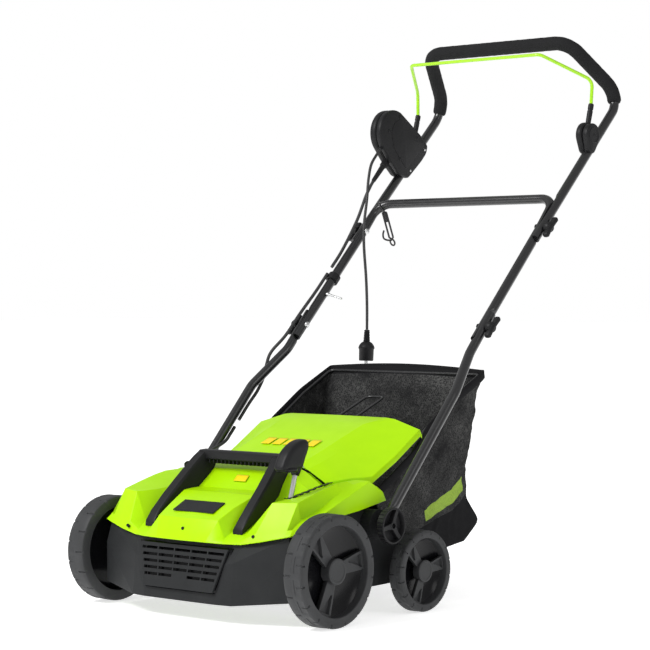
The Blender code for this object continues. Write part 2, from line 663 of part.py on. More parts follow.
def belt_drive():
    """The reel's pulley and the belt that joins it to the motor's."""
    low, high = BELT_X - BELT_WIDTH / 2, BELT_X + BELT_WIDTH / 2
    ring("reel_pulley", REEL_PULLEY_R, REEL_SHAFT_R + GAP, low, high, REEL_Y, REEL_Z, DARK, steps=24)
    inner = hull_of_circles((REEL_Y, REEL_Z), REEL_PULLEY_R + GAP, (MOTOR_Y, MOTOR_Z), MOTOR_PULLEY_R + GAP, 14)
    outer = hull_of_circles((REEL_Y, REEL_Z), REEL_PULLEY_R + GAP + BELT_THICK,
                            (MOTOR_Y, MOTOR_Z), MOTOR_PULLEY_R + GAP + BELT_THICK, 14)
    plate("drive_belt", outer, low + 0.0005, high - 0.0005, CABLE, holes=(inner,))


# ------------------------------------------------------------------ depth lever
def depth_lever():
    """The curved palm grip on the depth lever's rod."""
    slot, top = (Vector(point) for point in LEVER_ROUTE[1:])
    centre = (0.0300, 0.2840)
    grip_outline = arc(centre, 0.042, 196, 8, 14) + arc(centre, 0.029, 8, 60, 4)
    grip_outline += [(0.030, 0.2900), (0.056, 0.2840), (0.054, 0.2700), (0.002, 0.2660)]
    obj = plate("lever_grip", grip_outline, LEVER_X - 0.0133, LEVER_X + 0.0130, BLACK,
                pivot=(LEVER_X, CRANK_Y, CRANK_Z))
    hole = rod("lever_hole", [slot, top + (top - slot).normalized() * GAP], LEVER_ROD_R + GAP, None, helper=True)
    boolean(obj, hole)


# ------------------------------------------------------------------ flap and bag
def rear_flap():
    """The lime rear flap with its raised centre panel, hinged behind the hood."""
    front = FLAP_HINGE[0] + 0.0035
    low = [(0, front, 0.2705), (0.095, front, 0.2685), (0.120, front, 0.2620), (0.1600, 0.1200, 0.2400),
           (0.1605, 0.1210, 0.2280)]
    knee = [(0, 0.1650, 0.2880), (0.100, 0.1650, 0.2870), (0.125, 0.1650, 0.2790), (0.1800, 0.1650, 0.2460),
            (0.1810, 0.1650, 0.2340)]
    groove = [(0, 0.2370, 0.3160), (0.103, 0.2370, 0.3150), (0.123, 0.2330, 0.3000), (0.2000, 0.2050, 0.2480),
              (0.2020, 0.2050, 0.2360)]
    ridge = [(0, 0.2926, 0.3375), (0.1057, 0.2926, 0.3366), (0.1350, 0.2840, 0.3180), (0.2030, 0.2700, 0.2830),
             (0.2050, 0.2700, 0.2710)]
    top = [(0, 0.3466, 0.3480), (0.120, 0.3466, 0.3475), (0.1400, 0.3466, 0.3455), (0.2030, 0.3440, 0.3280),
           (0.2055, 0.3440, 0.3160)]
    lip = [(0, 0.3520, 0.3370), (0.120, 0.3520, 0.3365), (0.1410, 0.3520, 0.3345), (0.2035, 0.3495, 0.3170),
           (0.2058, 0.3470, 0.3120)]
    pivot = (0.0, *FLAP_HINGE)
    half_skin("rear_flap", [low, knee, groove, ridge, top, lip], WALL, LIME, pivot=pivot)
    disc("flap_hinge_rod", HINGE_ROD_R, -0.112, 0.112, *FLAP_HINGE, STEEL, steps=12)


def bag_side(u, v):
    """A point of the bag's side: u runs from front to back, v from the rim down to the bottom."""
    rim_y = np.interp(u, [0.0, 0.4, 0.45, 0.73, 1.0], [0.205, 0.345, 0.366, 0.461, 0.559])
    rim_z = np.interp(u, [0.0, 0.4, 0.45, 0.73, 1.0], [0.212, 0.296, 0.328, 0.388, 0.434])
    front_y = np.interp(v, [0.0, 0.4, 0.8, 1.0], [0.0, 0.030, 0.080, 0.095])
    back_y = np.interp(v, [0.0, 0.13, 0.4, 0.66, 0.86, 1.0], [0.0, -0.020, -0.036, -0.056, -0.049, -0.010])
    low_z = np.interp(u, [0.0, 0.45, 0.8, 1.0], [0.104, 0.093, 0.104, 0.142])
    y = rim_y + front_y * (1 - u) + back_y * u
    z = rim_z + (low_z - rim_z) * v
    return float(y), float(z)


def grass_bag():
    """The open-topped mesh bag: two sides, a bottom and a back."""
    across = [0.66, 0.33, 0.0]
    rows = []
    for u in (0.0, 0.2, 0.4, 0.45, 0.6, 0.8, 1.0):
        row = []
        for v in (0.0, 0.2, 0.4, 0.6, 0.8, 1.0):
            y, z = bag_side(u, v)
            row.append((BAG_HALF - 0.006 * v, y, z))
        y, z = bag_side(u, 1.0)
        row += [((BAG_HALF - 0.006) * share, y, z - 0.004 * (1 - share)) for share in across]
        rows.append(row)
    for share in (0.66, 0.33, 0.0):
        row = [(x * share, y, z) for x, y, z in rows[6][:6]]
        row += [(x * share, y, z) for x, y, z in rows[6][6:]]
        rows.append(row)
    obj = half_skin("grass_bag", [row[::-1] for row in rows], BAG_THICK, MESH_CLOTH)
    return obj


def bag_frame():
    """The bag's wire frame inside its rim, and the wire handle above its mouth."""
    inset = 0.0075
    half = [(0.0, *bag_point(1.0, inset)), (BAG_HALF - inset, *bag_point(1.0, inset)),
            (BAG_HALF - inset, *bag_point(0.73, 0.0)), (BAG_HALF - inset, *bag_point(0.46, 0.0)),
            (BAG_HALF - inset, *bag_point(0.36, 0.0)), (BAG_HALF - inset, *bag_point(0.16, 0.0)),
            (0.0, *bag_point(0.16, 0.0))]
    loop = half[1:-1]
    route = loop[::-1] + mirrored(loop)
    frame = rod("bag_frame", rounded(route, 0.008, 30.0), 0.003, PAINT, resolution=1)
    bar = rod("frame_bar", [(BAG_HALF - inset, *bag_point(0.40, 0.0)), (-(BAG_HALF - inset), *bag_point(0.40, 0.0))],
              0.003, None, resolution=1, helper=True)
    y, z = bag_point(0.40, 0.0)
    legs = [(0.022, y, z), (0.022, 0.366, 0.3410), (0.022, 0.460, 0.3790)]
    handle = rod("frame_handle", rounded(legs + mirrored(legs[::-1]), [0.012, 0.010, 0.010, 0.012], 30.0),
                 0.0025, None, resolution=2, helper=True)
    boolean(frame, bar, "UNION")
    boolean(frame, handle, "UNION")


def bag_point(u, inset):
    """A point of the frame just under the bag's rim."""
    y, z = bag_side(u, 0.0)
    return y - inset, z - 0.007


# ------------------------------------------------------------------ handle
def way(start, end):
    """The unit direction in the YZ plane from one place to another."""
    step = np.array(end) - np.array(start)
    return step / np.linalg.norm(step)


def tube_frame(along, away=0.0):
    """(Y, Z) of a place measured along the upper tubes from the upper wing bolts, and square to them."""
    run = way(HIGH_JOINT, HANDLE_KNEE)
    return tuple(np.array(HIGH_JOINT) + run * along + np.array([-run[1], run[0]]) * away)


def middle_frame(along, away=0.0):
    """(Y, Z) of a place measured along the middle tube from the upper wing bolts, and square to it."""
    run = way(LOW_JOINT, HIGH_JOINT)
    return tuple(np.array(HIGH_JOINT) + run * along + np.array([-run[1], run[0]]) * away)


def bolt_holes(obj, centre, near, far, label):
    """A hole along X for a wing bolt."""
    low, high = sorted((near, far))
    boolean(obj, disc(f"{obj.name}_hole_{label}", BOLT_R + GAP, low, high, *centre, helper=True, steps=8))


def flatten(tube, side, leg_x, joint, reach):
    """Takes the near half off a tube where it laps another one, from reach[0] to reach[1] about a bolt."""
    run = way(LOW_JOINT, HIGH_JOINT)
    square = np.array([-run[1], run[0]]) * (TUBE_R + 0.009)
    ends = [np.array(joint) + run * distance for distance in reach]
    outline = [tuple(ends[0] - square), tuple(ends[1] - square), tuple(ends[1] + square), tuple(ends[0] + square)]
    outward = leg_x == INNER_LEG_X
    face = LAP_X - GAP / 2 if outward else LAP_X + GAP / 2
    beyond = leg_x + 0.02 if outward else leg_x - 0.02
    name = f"{tube.name}_lap_{side:.0f}_{joint[0]:.3f}"
    boolean(tube, plate(name, outline, *span(side, face, beyond), helper=True))


def lower_tubes():
    """The two lower tubes, from the side knobs up to the lower wing bolts."""
    low_bend, high_bend = (0.3790, 0.3980), (0.4590, 0.4700)
    end = np.array(LOW_JOINT) + way(high_bend, LOW_JOINT) * TUBE_LAP
    start = np.array([PIVOT_Y, PIVOT_Z]) - way((PIVOT_Y, PIVOT_Z), low_bend) * 0.016
    for label, side in SIDES:
        corners = [(side * LEG_X, *end), (side * LEG_X, *high_bend), (side * PIVOT_X, *low_bend),
                   (side * PIVOT_X, *start)]
        tube = pipe(f"lower_tube_{label}", rounded(corners, 0.06), TUBE_R, TUBE_WALL, PAINT,
                    pivot=(0.0, PIVOT_Y, PIVOT_Z))
        flatten(tube, side, LEG_X, LOW_JOINT, (-0.036, TUBE_LAP + 0.004))
        bolt_holes(tube, LOW_JOINT, side * (LEG_X - 0.03), side * (LEG_X + 0.03), "top")
        hole = disc(f"pivot_hole_{label}", STUD_R + RUNNING, *span(side, PIVOT_X - 0.03, PIVOT_X + 0.03),
                    PIVOT_Y, PIVOT_Z, helper=True, steps=16)
        boolean(tube, hole)


def middle_tube():
    """The U-shaped middle tube with its cross bar."""
    end = np.array(LOW_JOINT) - way(LOW_JOINT, HIGH_JOINT) * TUBE_LAP
    half = [(INNER_LEG_X, *end), (INNER_LEG_X, *HIGH_JOINT), (INNER_LEG_X, *CROSS_BAR)]
    route = half + mirrored(half[::-1])
    tube = pipe("middle_tube", rounded(route, [0.3, 0.034, 0.034, 0.3]), TUBE_R, TUBE_WALL, PAINT,
                pivot=(0.0, *LOW_JOINT))
    for label, side in SIDES:
        flatten(tube, side, INNER_LEG_X, LOW_JOINT, (-TUBE_LAP - 0.004, 0.036))
        flatten(tube, side, INNER_LEG_X, HIGH_JOINT, (-0.036, 0.074))
        near, far = side * (INNER_LEG_X - 0.03), side * (INNER_LEG_X + 0.03)
        bolt_holes(tube, LOW_JOINT, near, far, f"low_{label}")
        bolt_holes(tube, HIGH_JOINT, near, far, f"high_{label}")


def upper_route():
    """The centre line of the upper tube, from its left end to its right end."""
    low = tube_frame(-TUBE_LAP)
    half = [(LEG_X, *low), (LEG_X, *HANDLE_KNEE), (HANDLE_TOP_HALF, *HANDLE_TOP)]
    return half + mirrored(half[::-1])


def upper_tube():
    """The upper handle tube and the foam on its grip."""
    route = rounded(upper_route(), [0.046, 0.045, 0.045, 0.046])
    tube = pipe("upper_tube", route, TUBE_R, TUBE_WALL, PAINT, pivot=(0.0, *HIGH_JOINT))
    for label, side in SIDES:
        flatten(tube, side, LEG_X, HIGH_JOINT, (-TUBE_LAP - 0.004, 0.092))
        bolt_holes(tube, HIGH_JOINT, side * (LEG_X - 0.03), side * (LEG_X + 0.03), label)
    first, last = route[0], route[1]
    start = last - (last - first) / np.linalg.norm(last - first) * 0.0015
    grip = [start] + route[1:-1] + [start * np.array([-1.0, 1.0, 1.0])]
    pipe("foam_grip", grip, FOAM_R, FOAM_R - TUBE_R - GAP, FOAM, pivot=(0.0, *HIGH_JOINT))


def wing_fasteners():
    """A carriage bolt and a wing knob at each of the four tube joints."""
    for level, joint in (("low", LOW_JOINT), ("high", HIGH_JOINT)):
        for label, side in SIDES:
            head = INNER_LEG_X - TUBE_R - GAP
            outer = LEG_X + TUBE_R + GAP
            knob_face = outer + 0.018
            shape = [(0.0, head - BOLT_HEAD), (BOLT_HEAD_R * 0.7, head - BOLT_HEAD), (BOLT_HEAD_R, head - 0.001),
                     (BOLT_HEAD_R, head), (BOLT_R, head), (BOLT_R, knob_face - 0.004), (0.0, knob_face - 0.004)]
            profile = [(r, side * x) for r, x in (shape if side < 0 else shape[::-1])]
            turned(f"wing_bolt_{level}_{label}", profile, *joint, STEEL, steps=12)
            wing_knob(f"wing_knob_{level}_{label}", side, joint, outer, knob_face)


def wing_knob(name, side, joint, near, far):
    """A knob with two wings in line with the tube."""
    run = way(LOW_JOINT, HIGH_JOINT)
    ends = [tuple(np.array(joint) + run * reach) for reach in (-0.020, 0.020)]
    wings = hull_of_circles(ends[0], 0.0065, ends[1], 0.00651, 7)
    obj = disc(name, 0.0115, *span(side, near, far - 0.004), *joint, BLACK, steps=16)
    blade = plate(f"{name}_blade", wings, *span(side, near + 0.005, far), helper=True)
    boolean(obj, blade, "UNION")
    hole = disc(f"{name}_bore", BOLT_R + GAP, *span(side, near - 0.002, far - 0.004 + GAP), *joint, helper=True, steps=12)
    boolean(obj, hole)


def side_pivots():
    """On each side a boss on the deck and the big side knob, whose stud holds the lower tube."""
    for label, side in SIDES:
        tube_in = PIVOT_X - TUBE_R - GAP
        tube_out = PIVOT_X + TUBE_R + GAP
        boss = disc(f"pivot_boss_{label}", BOSS_R, *span(side, WALL_X - WALL * 0.6, tube_in), PIVOT_Y, PIVOT_Z,
                    helper=True, steps=28)
        bore = disc(f"boss_bore_{label}", STUD_R + GAP, *span(side, WALL_X - 0.01, tube_in + 0.001), PIVOT_Y, PIVOT_Z,
                    helper=True, steps=16)
        deck = bpy.data.objects["lower_housing"]
        boolean(deck, boss, "UNION")
        boolean(deck, bore)
        face = tube_out + SIDE_KNOB_DEEP
        side_knob(f"side_knob_{label}", side, tube_out, face)


def side_knob(name, side, near, face):
    """The round knob that clamps a lower tube: a cup with three spokes in its face."""
    obj = disc(name, SIDE_KNOB_R, *span(side, near, face), PIVOT_Y, PIVOT_Z, BLACK, steps=28)
    for k in range(3):
        middle = 120.0 * k + 30.0
        pocket = arc((PIVOT_Y, PIVOT_Z), SIDE_KNOB_R - 0.004, middle - 46, middle + 46, 9)
        pocket += arc((PIVOT_Y, PIVOT_Z), 0.010, middle + 25, middle - 25, 4)
        boolean(obj, plate(f"{name}_pocket_{k}", pocket, *span(side, near + 0.005, face + 0.002), helper=True))
    stud = disc(f"{name}_stud", STUD_R, *span(side, WALL_X - WALL, near + 0.001), PIVOT_Y, PIVOT_Z,
                helper=True, steps=16)
    boolean(obj, stud, "UNION")


# ------------------------------------------------------------------ switch and bail
def bail_leg():
    """The right half of the bail, from its socket to the middle of its top bar."""
    return [(BAIL_X, 0.8839, 0.9719), (0.2290, 0.8859, 1.0241), (0.1679, 0.7848, 1.0736)]


def bail():
    """The lime bail bar in its two pivoting sockets."""
    leg = bail_leg()
    hub = Vector((BAIL_X, *BAIL_HUB))
    top = Vector(leg[0])
    out = (top - hub).normalized()
    start = top - out * 0.014
    route = [start] + [Vector(p) for p in leg]
    full = route + [Vector((-p[0], p[1], p[2])) for p in route[::-1]]
    rod("bail_bar", rounded(full, [0.02, 0.02, 0.014, 0.014, 0.02, 0.02]), BAIL_R, LIME_PAINT,
        pivot=(0.0, *BAIL_HUB), resolution=2)
    for label, side in SIDES:
        near, far = BAIL_X - 0.006, BAIL_X + 0.006
        hub_disc = disc(f"bail_socket_{label}", BAIL_HUB_R, *span(side, near, far), *BAIL_HUB, BLACK, steps=24)
        stem_from = hub + out * 0.004
        points = [Vector((side * p[0], p[1], p[2])) for p in (stem_from, top)]
        boolean(hub_disc, rod(f"socket_stem_{label}", points, SOCKET_R, None, resolution=3, helper=True), "UNION")
        bore = [Vector((side * p[0], p[1], p[2])) for p in (start - out * GAP, top + out * 0.003)]
        boolean(hub_disc, rod(f"socket_bore_{label}", bore, BAIL_R + GAP, None, resolution=2, helper=True))


def bail_pocket(name, side):
    """The space that a bail socket turns in: a round seat and a wedge for the stem's sweep."""
    reach = 0.075
    seat = hub_fan(BAIL_HUB, BAIL_HUB_R + 0.0008, reach, 46.0, 82.0)
    low, high = span(side, BAIL_X - 0.0068, BAIL_X + 0.0068)
    return plate(name, seat, low, high, helper=True)


def hub_fan(centre, radius, reach, from_deg, to_deg):
    """A round seat with a widening mouth between two angles."""
    half = math.degrees(math.asin(min(0.99, (SOCKET_R + 0.001) / radius)))
    outline = arc(centre, radius, to_deg + half, from_deg - half + 360, 22)
    first = math.radians(from_deg)
    last = math.radians(to_deg)
    spread = SOCKET_R + 0.001
    outline.append((centre[0] + reach * math.cos(first) + spread * math.sin(first),
                    centre[1] + reach * math.sin(first) - spread * math.cos(first)))
    outline.append((centre[0] + reach * math.cos(last) - spread * math.sin(last),
                    centre[1] + reach * math.sin(last) + spread * math.cos(last)))
    return outline


def tube_channel(name, side):
    """A cutter along an upper tube, with the clamp's clearance."""
    low, high = tube_frame(0.05), tube_frame(0.34)
    return rod(name, [(side * LEG_X, *low), (side * LEG_X, *high)], TUBE_R + GAP * 2, None, resolution=4, helper=True)


def switch_box():
    """The switch box on the left tube: cover, base and the lock-off button."""
    corners = [(0.1640, 0.0550), (0.1680, 0.0100), (0.1830, -0.0120), (0.2450, -0.0170), (0.2690, -0.0160),
               (0.2850, -0.0070), (0.2830, 0.0250), (0.2640, 0.1060)]
    outline = [tube_frame(*corner) for corner in corners]
    outline += [tube_frame(*spot) for spot in arc((0.2160, 0.0890), 0.0510, 24, 184, 13)]
    cover_x = (-0.2316, -0.2175)
    base_x = (-0.2494, -0.2320)
    for name, across in (("switch_cover", cover_x), ("switch_base", base_x)):
        obj = plate(name, outline, *across, BLACK)
        boolean(obj, bail_pocket(f"{name}_pocket", -1.0))
        boolean(obj, tube_channel(f"{name}_channel", -1.0))
    button_at = tube_frame(0.212, 0.102)
    base = bpy.data.objects["switch_base"]
    well = disc("button_well", 0.0095, -0.2535, -0.2415, *button_at, helper=True, steps=24)
    boolean(base, well)
    disc("lock_off_button", 0.0090, -0.2540, -0.2470, *button_at, LIME, steps=24)


def pivot_housing():
    """The two halves of the bail's pivot housing on the right tube."""
    for name, radius, across in (("pivot_housing_inner", 0.0265, (0.2175, 0.2316)),
                                 ("pivot_housing_outer", 0.0240, (0.2320, 0.2470))):
        outline = hull_of_circles(BAIL_HUB, radius, (0.862, 0.8840), 0.0125, 12)
        obj = plate(name, outline, *across, BLACK)
        boolean(obj, bail_pocket(f"{name}_pocket", 1.0))
        boolean(obj, tube_channel(f"{name}_channel", 1.0))


# ------------------------------------------------------------------ cables
MAINS_ROUTE = [(-0.2250, 0.7500, 0.8955), (-0.2220, 0.7330, 0.8810), (-0.215, 0.707, 0.859), (-0.207, 0.688, 0.825),
               (-0.198, 0.672, 0.782), (-0.190, 0.654, 0.735), (-0.187, 0.649, 0.686), (-0.186, 0.655, 0.617),
               (-0.186, 0.658, 0.560), (-0.186, 0.658, 0.508)]
CABLE_HIGH = [(-0.236, 0.7395, 0.8262), (-0.236, 0.7280, 0.8120), (-0.236, 0.7130, 0.7900),
              (-0.236, 0.6900, 0.7480), (-0.236, 0.6640, 0.7110), (-0.236, 0.6320, 0.6710), (-0.236, 0.6020, 0.6400)]
CABLE_MIDDLE = [(-0.236, 0.5880, 0.6260), (-0.236, 0.5520, 0.5900), (-0.236, 0.5000, 0.5420), (-0.241, 0.4610, 0.4980),
                (-0.255, 0.4330, 0.4650), (-0.2605, 0.4250, 0.4410), (-0.2610, 0.4170, 0.4150),
                (-0.2590, 0.3950, 0.3860), (-0.2560, 0.3650, 0.3600), (-0.2560, 0.3360, 0.3290)]
CABLE_LOW = [(-0.2560, 0.3230, 0.3150), (-0.2520, 0.3060, 0.3020), (-0.2450, 0.2820, 0.2880), (-0.2320, 0.2280, 0.2740),
             (-0.2150, 0.1740, 0.2640), (-0.2000, 0.1360, 0.2560)]


def cords():
    """The short mains lead, its relief and plug, and the motor cable in three clipped lengths."""
    route = smooth_route(MAINS_ROUTE, 0.015)
    rod("mains_lead", route, MAINS_R, CABLE, pivot=(0.0, *HIGH_JOINT), resolution=2)
    for name, points, pivot in (("motor_cable_high", CABLE_HIGH, HIGH_JOINT),
                                ("motor_cable_middle", CABLE_MIDDLE, LOW_JOINT),
                                ("motor_cable_low", CABLE_LOW, (PIVOT_Y, PIVOT_Z))):
        rod(name, smooth_route(points, 0.015), MOTOR_CABLE_R, CABLE, pivot=(0.0, *pivot), resolution=2)


def cone_rod(name, start, end, radii, material, count=12, pivot=(0.0, 0.0, 0.0), helper=False):
    """A stepped round piece along a straight line, a ring for each radius."""
    start, end = Vector(start), Vector(end)
    along = (end - start).normalized()
    side = along.cross(Vector((1.0, 0.3, 0.2))).normalized()
    other = along.cross(side)
    rings = []
    for share, radius in radii:
        spot = start.lerp(end, share)
        rings.append([spot + side * radius * math.cos(2 * math.pi * k / count)
                      + other * radius * math.sin(2 * math.pi * k / count) for k in range(count)])
    return loft(name, rings, material, pivot, helper)


def reliefs():
    """The two tapered sleeves in the switch box and the gland in the hood."""
    outlets = (("mains_relief", (-0.2262, 0.7690, 0.9120), MAINS_ROUTE[0], [(0, 0.0062), (0.4, 0.0060), (1, 0.0038)]),
               ("motor_cable_relief", (-0.2360, 0.7920, 0.8790), CABLE_HIGH[0],
                [(0, 0.0080), (0.35, 0.0076), (0.4, 0.0060), (1, 0.0046)]))
    for name, inner, outer, radii in outlets:
        inner, outer = Vector(inner), Vector(outer)
        run = (outer - inner).normalized()
        cone_rod(name, inner, outer - run * GAP, radii, BLACK)
        for half in ("switch_cover", "switch_base"):
            seat = cone_rod(f"{name}_{half}", inner - run * GAP, outer, [(0, radii[0][1] + GAP * 2), (1, radii[0][1] + GAP * 2)],
                            None, helper=True)
            boolean(bpy.data.objects[half], seat)
    last, before = Vector(CABLE_LOW[-1]), Vector(CABLE_LOW[-2])
    run = (last - before).normalized()
    cone_rod("cable_gland", last + run * GAP, last + run * 0.012, [(0, 0.0050), (0.5, 0.0058), (1, 0.0070)], BLACK)


def plug():
    """The moulded plug with a ribbed relief, a flange and two pins, hanging from the lead."""
    x, y, z = MAINS_ROUTE[-1]
    top = z - GAP
    relief = [(0.0, 0.0045), (0.02, 0.0068), (0.35, 0.0076), (0.40, 0.0120), (0.46, 0.0150), (0.55, 0.0172),
              (0.60, 0.0172), (0.62, 0.0165), (1.0, 0.0155)]
    body = cone_rod("mains_plug", (x, y, top), (x, y - 0.003, top - 0.0660), relief, BLACK, count=12)
    for k, shift in enumerate((-0.0095, 0.0095)):
        foot = Vector((x + shift * 0.76, y - 0.003 - shift * 0.65, top - 0.0640))
        pin = cone_rod(f"plug_pin_{k + 1}", foot, foot - Vector((0, 0, 0.021)),
                       [(0, 0.0024), (0.9, 0.0024), (1, 0.0014)], None, count=10, helper=True)
        boolean(body, pin, "UNION")


def cable_clips():
    """The clip on the middle tube, the tie on the lower tube, and what hangs on the middle tube."""
    start, end = [(-INNER_LEG_X, *middle_frame(reach)) for reach in (-0.150, -0.134)]
    pipe("cable_clip", [start, end], TUBE_R + 0.0040, 0.0034, BLACK, resolution=4)


def cable_hook():
    """The hook that hangs on the middle tube's left bend and takes the strain of an extension lead."""
    eye, swing_axis = Vector(HOOK_EYE), Vector(HOOK_AXIS)
    down = (Vector((0, 0, -1)) + swing_axis * swing_axis.z).normalized()
    side = swing_axis.cross(down)
    ring_r = TUBE_R + HOOK_WIRE_R + 0.0009
    turns = np.radians(np.linspace(-165.0, 165.0, 15))
    loop = [eye + down * ring_r * math.cos(a) + side * ring_r * math.sin(a) for a in turns]
    obj = rod("cable_hook", loop, HOOK_WIRE_R, PAINT, pivot=HOOK_EYE, resolution=2)
    fall = Vector((0.20, 0.17, -0.965)).normalized()
    across = Vector((0.759, 0.651, 0.0))
    through = fall.cross(across).normalized()
    top = eye + down * (ring_r + 0.0006)
    rings = []
    for drop in (0.0, 0.0660):
        spot = top + fall * drop
        rings.append([spot + across * w * 0.0042 + through * t * 0.0014
                      for w, t in ((-1, -1), (1, -1), (1, 1), (-1, 1))])
    boolean(obj, loft("hook_strap", rings, None, helper=True), "UNION")
    foot = top + fall * 0.0560
    tip = [foot, foot - across * 0.0110 - Vector((0, 0, 0.0030)), foot - across * 0.0145 + Vector((0, 0, 0.0030)),
           foot - across * 0.0135 + Vector((0, 0, 0.0130))]
    boolean(obj, rod("hook_tip", tip, HOOK_WIRE_R * 0.9, None, resolution=2, helper=True), "UNION")


def tube_stud():
    """A bright locking stud on the inner side of the left middle tube."""
    y, z = middle_frame(-0.188)
    inner = -INNER_LEG_X + TUBE_R + STUD_SEAT
    cone_rod("tube_stud", (inner, y, z), (inner + 0.040, y + 0.001, z - 0.010),
             [(0, 0.0045), (0.12, 0.0045), (0.14, 0.0024), (0.95, 0.0024), (1, 0.0012)], STEEL)


# ------------------------------------------------------------------ build
all_wheels()
axles()
chassis()
grille()
hood()
name_panel()
carry_handle()
reel_guard()
reel()
reel_bearings()
motor()
belt_drive()
depth_lever()
rear_flap()
grass_bag()
bag_frame()
lower_tubes()
middle_tube()
upper_tube()
wing_fasteners()
side_pivots()
bail()
switch_box()
pivot_housing()
cords()
reliefs()
plug()
cable_clips()
cable_hook()
tube_stud()
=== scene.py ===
import math

import bmesh
import bpy
import numpy as np
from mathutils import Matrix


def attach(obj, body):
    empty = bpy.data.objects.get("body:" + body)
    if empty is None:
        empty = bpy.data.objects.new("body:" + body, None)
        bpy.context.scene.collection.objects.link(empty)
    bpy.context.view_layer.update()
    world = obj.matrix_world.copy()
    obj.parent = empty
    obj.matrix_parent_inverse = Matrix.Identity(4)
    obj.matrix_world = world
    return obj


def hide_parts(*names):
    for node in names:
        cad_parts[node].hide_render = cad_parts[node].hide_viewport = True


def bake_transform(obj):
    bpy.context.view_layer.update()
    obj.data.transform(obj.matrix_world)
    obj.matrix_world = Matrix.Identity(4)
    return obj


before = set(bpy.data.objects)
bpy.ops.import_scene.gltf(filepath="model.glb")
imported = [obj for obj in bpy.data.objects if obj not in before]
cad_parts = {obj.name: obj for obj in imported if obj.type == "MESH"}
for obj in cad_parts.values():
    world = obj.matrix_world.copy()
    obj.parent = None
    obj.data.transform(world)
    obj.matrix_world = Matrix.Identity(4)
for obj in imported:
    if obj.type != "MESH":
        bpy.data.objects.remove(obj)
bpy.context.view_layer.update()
midY = 0.4387  # the front axle lies this far in front of the origin


# ---- camera, floor and light
def setCamera():
    # one long lens, low in front of the right wheel
    data = bpy.data.cameras.new("viewCamera")
    data.lens = 119.96
    data.sensor_width = 36.0
    data.clip_end = 60.0
    camera = bpy.data.objects.new("viewCamera", data)
    camera.location = (2.72770, -2.87279 - midY, 0.58896)
    camera.rotation_euler = (math.radians(90.0 - 0.893), 0.0, math.radians(40.641))
    bpy.context.scene.collection.objects.link(camera)
    bpy.context.scene.camera = camera


def setLights(lights):
    # area lamps (name, place, turn, size, power) and a plain white world
    for name, place, turn, size, power in lights:
        data = bpy.data.lights.new(name, "AREA")
        data.shape = "RECTANGLE"
        data.size, data.size_y = size
        data.energy = power
        lamp = bpy.data.objects.new(name, data)
        lamp.location = place
        lamp.rotation_euler = [math.radians(a) for a in turn]
        bpy.context.scene.collection.objects.link(lamp)
    world = bpy.data.worlds.new("studioAir")
    world.use_nodes = True
    world.node_tree.nodes["Background"].inputs["Color"].default_value = (1.0, 1.0, 1.0, 1.0)
    # white to look at, dimmer as a light, so that dark plastics keep their depth
    tree = world.node_tree
    seen = tree.nodes.new("ShaderNodeLightPath").outputs["Is Camera Ray"]
    share = tree.nodes.new("ShaderNodeMapRange")
    share.inputs["To Min"].default_value = 0.50
    share.inputs["To Max"].default_value = 1.0
    tree.links.new(seen, share.inputs["Value"])
    tree.links.new(share.outputs["Result"], tree.nodes["Background"].inputs["Strength"])
    bpy.context.scene.world = world
    bpy.context.scene.view_settings.view_transform = "Standard"


# ---- shader expressions
class Num:
    # a socket whose operators add Math nodes
    def __init__(self, tree, socket):
        self.tree, self.socket = tree, socket

    def math(self, kind, other=None, flip=False, clamp=False):
        node = self.tree.nodes.new("ShaderNodeMath")
        node.operation, node.use_clamp = kind, clamp
        pair = (other, self) if flip else (self, other)
        for slot, value in zip(node.inputs, pair):
            if isinstance(value, Num):
                self.tree.links.new(value.socket, slot)
            elif value is not None:
                slot.default_value = value
        return Num(self.tree, node.outputs[0])

    def __add__(self, other): return self.math("ADD", other)
    def __radd__(self, other): return self.math("ADD", other)
    def __sub__(self, other): return self.math("SUBTRACT", other)
    def __rsub__(self, other): return self.math("SUBTRACT", other, flip=True)
    def __mul__(self, other): return self.math("MULTIPLY", other)
    def __rmul__(self, other): return self.math("MULTIPLY", other)
    def __truediv__(self, other): return self.math("DIVIDE", other)
    def __pow__(self, other): return self.math("POWER", other)
    def over(self, limit): return self.math("GREATER_THAN", limit)
    def under(self, limit): return self.math("LESS_THAN", limit)
    def clamp(self): return self.math("ADD", 0.0, clamp=True)


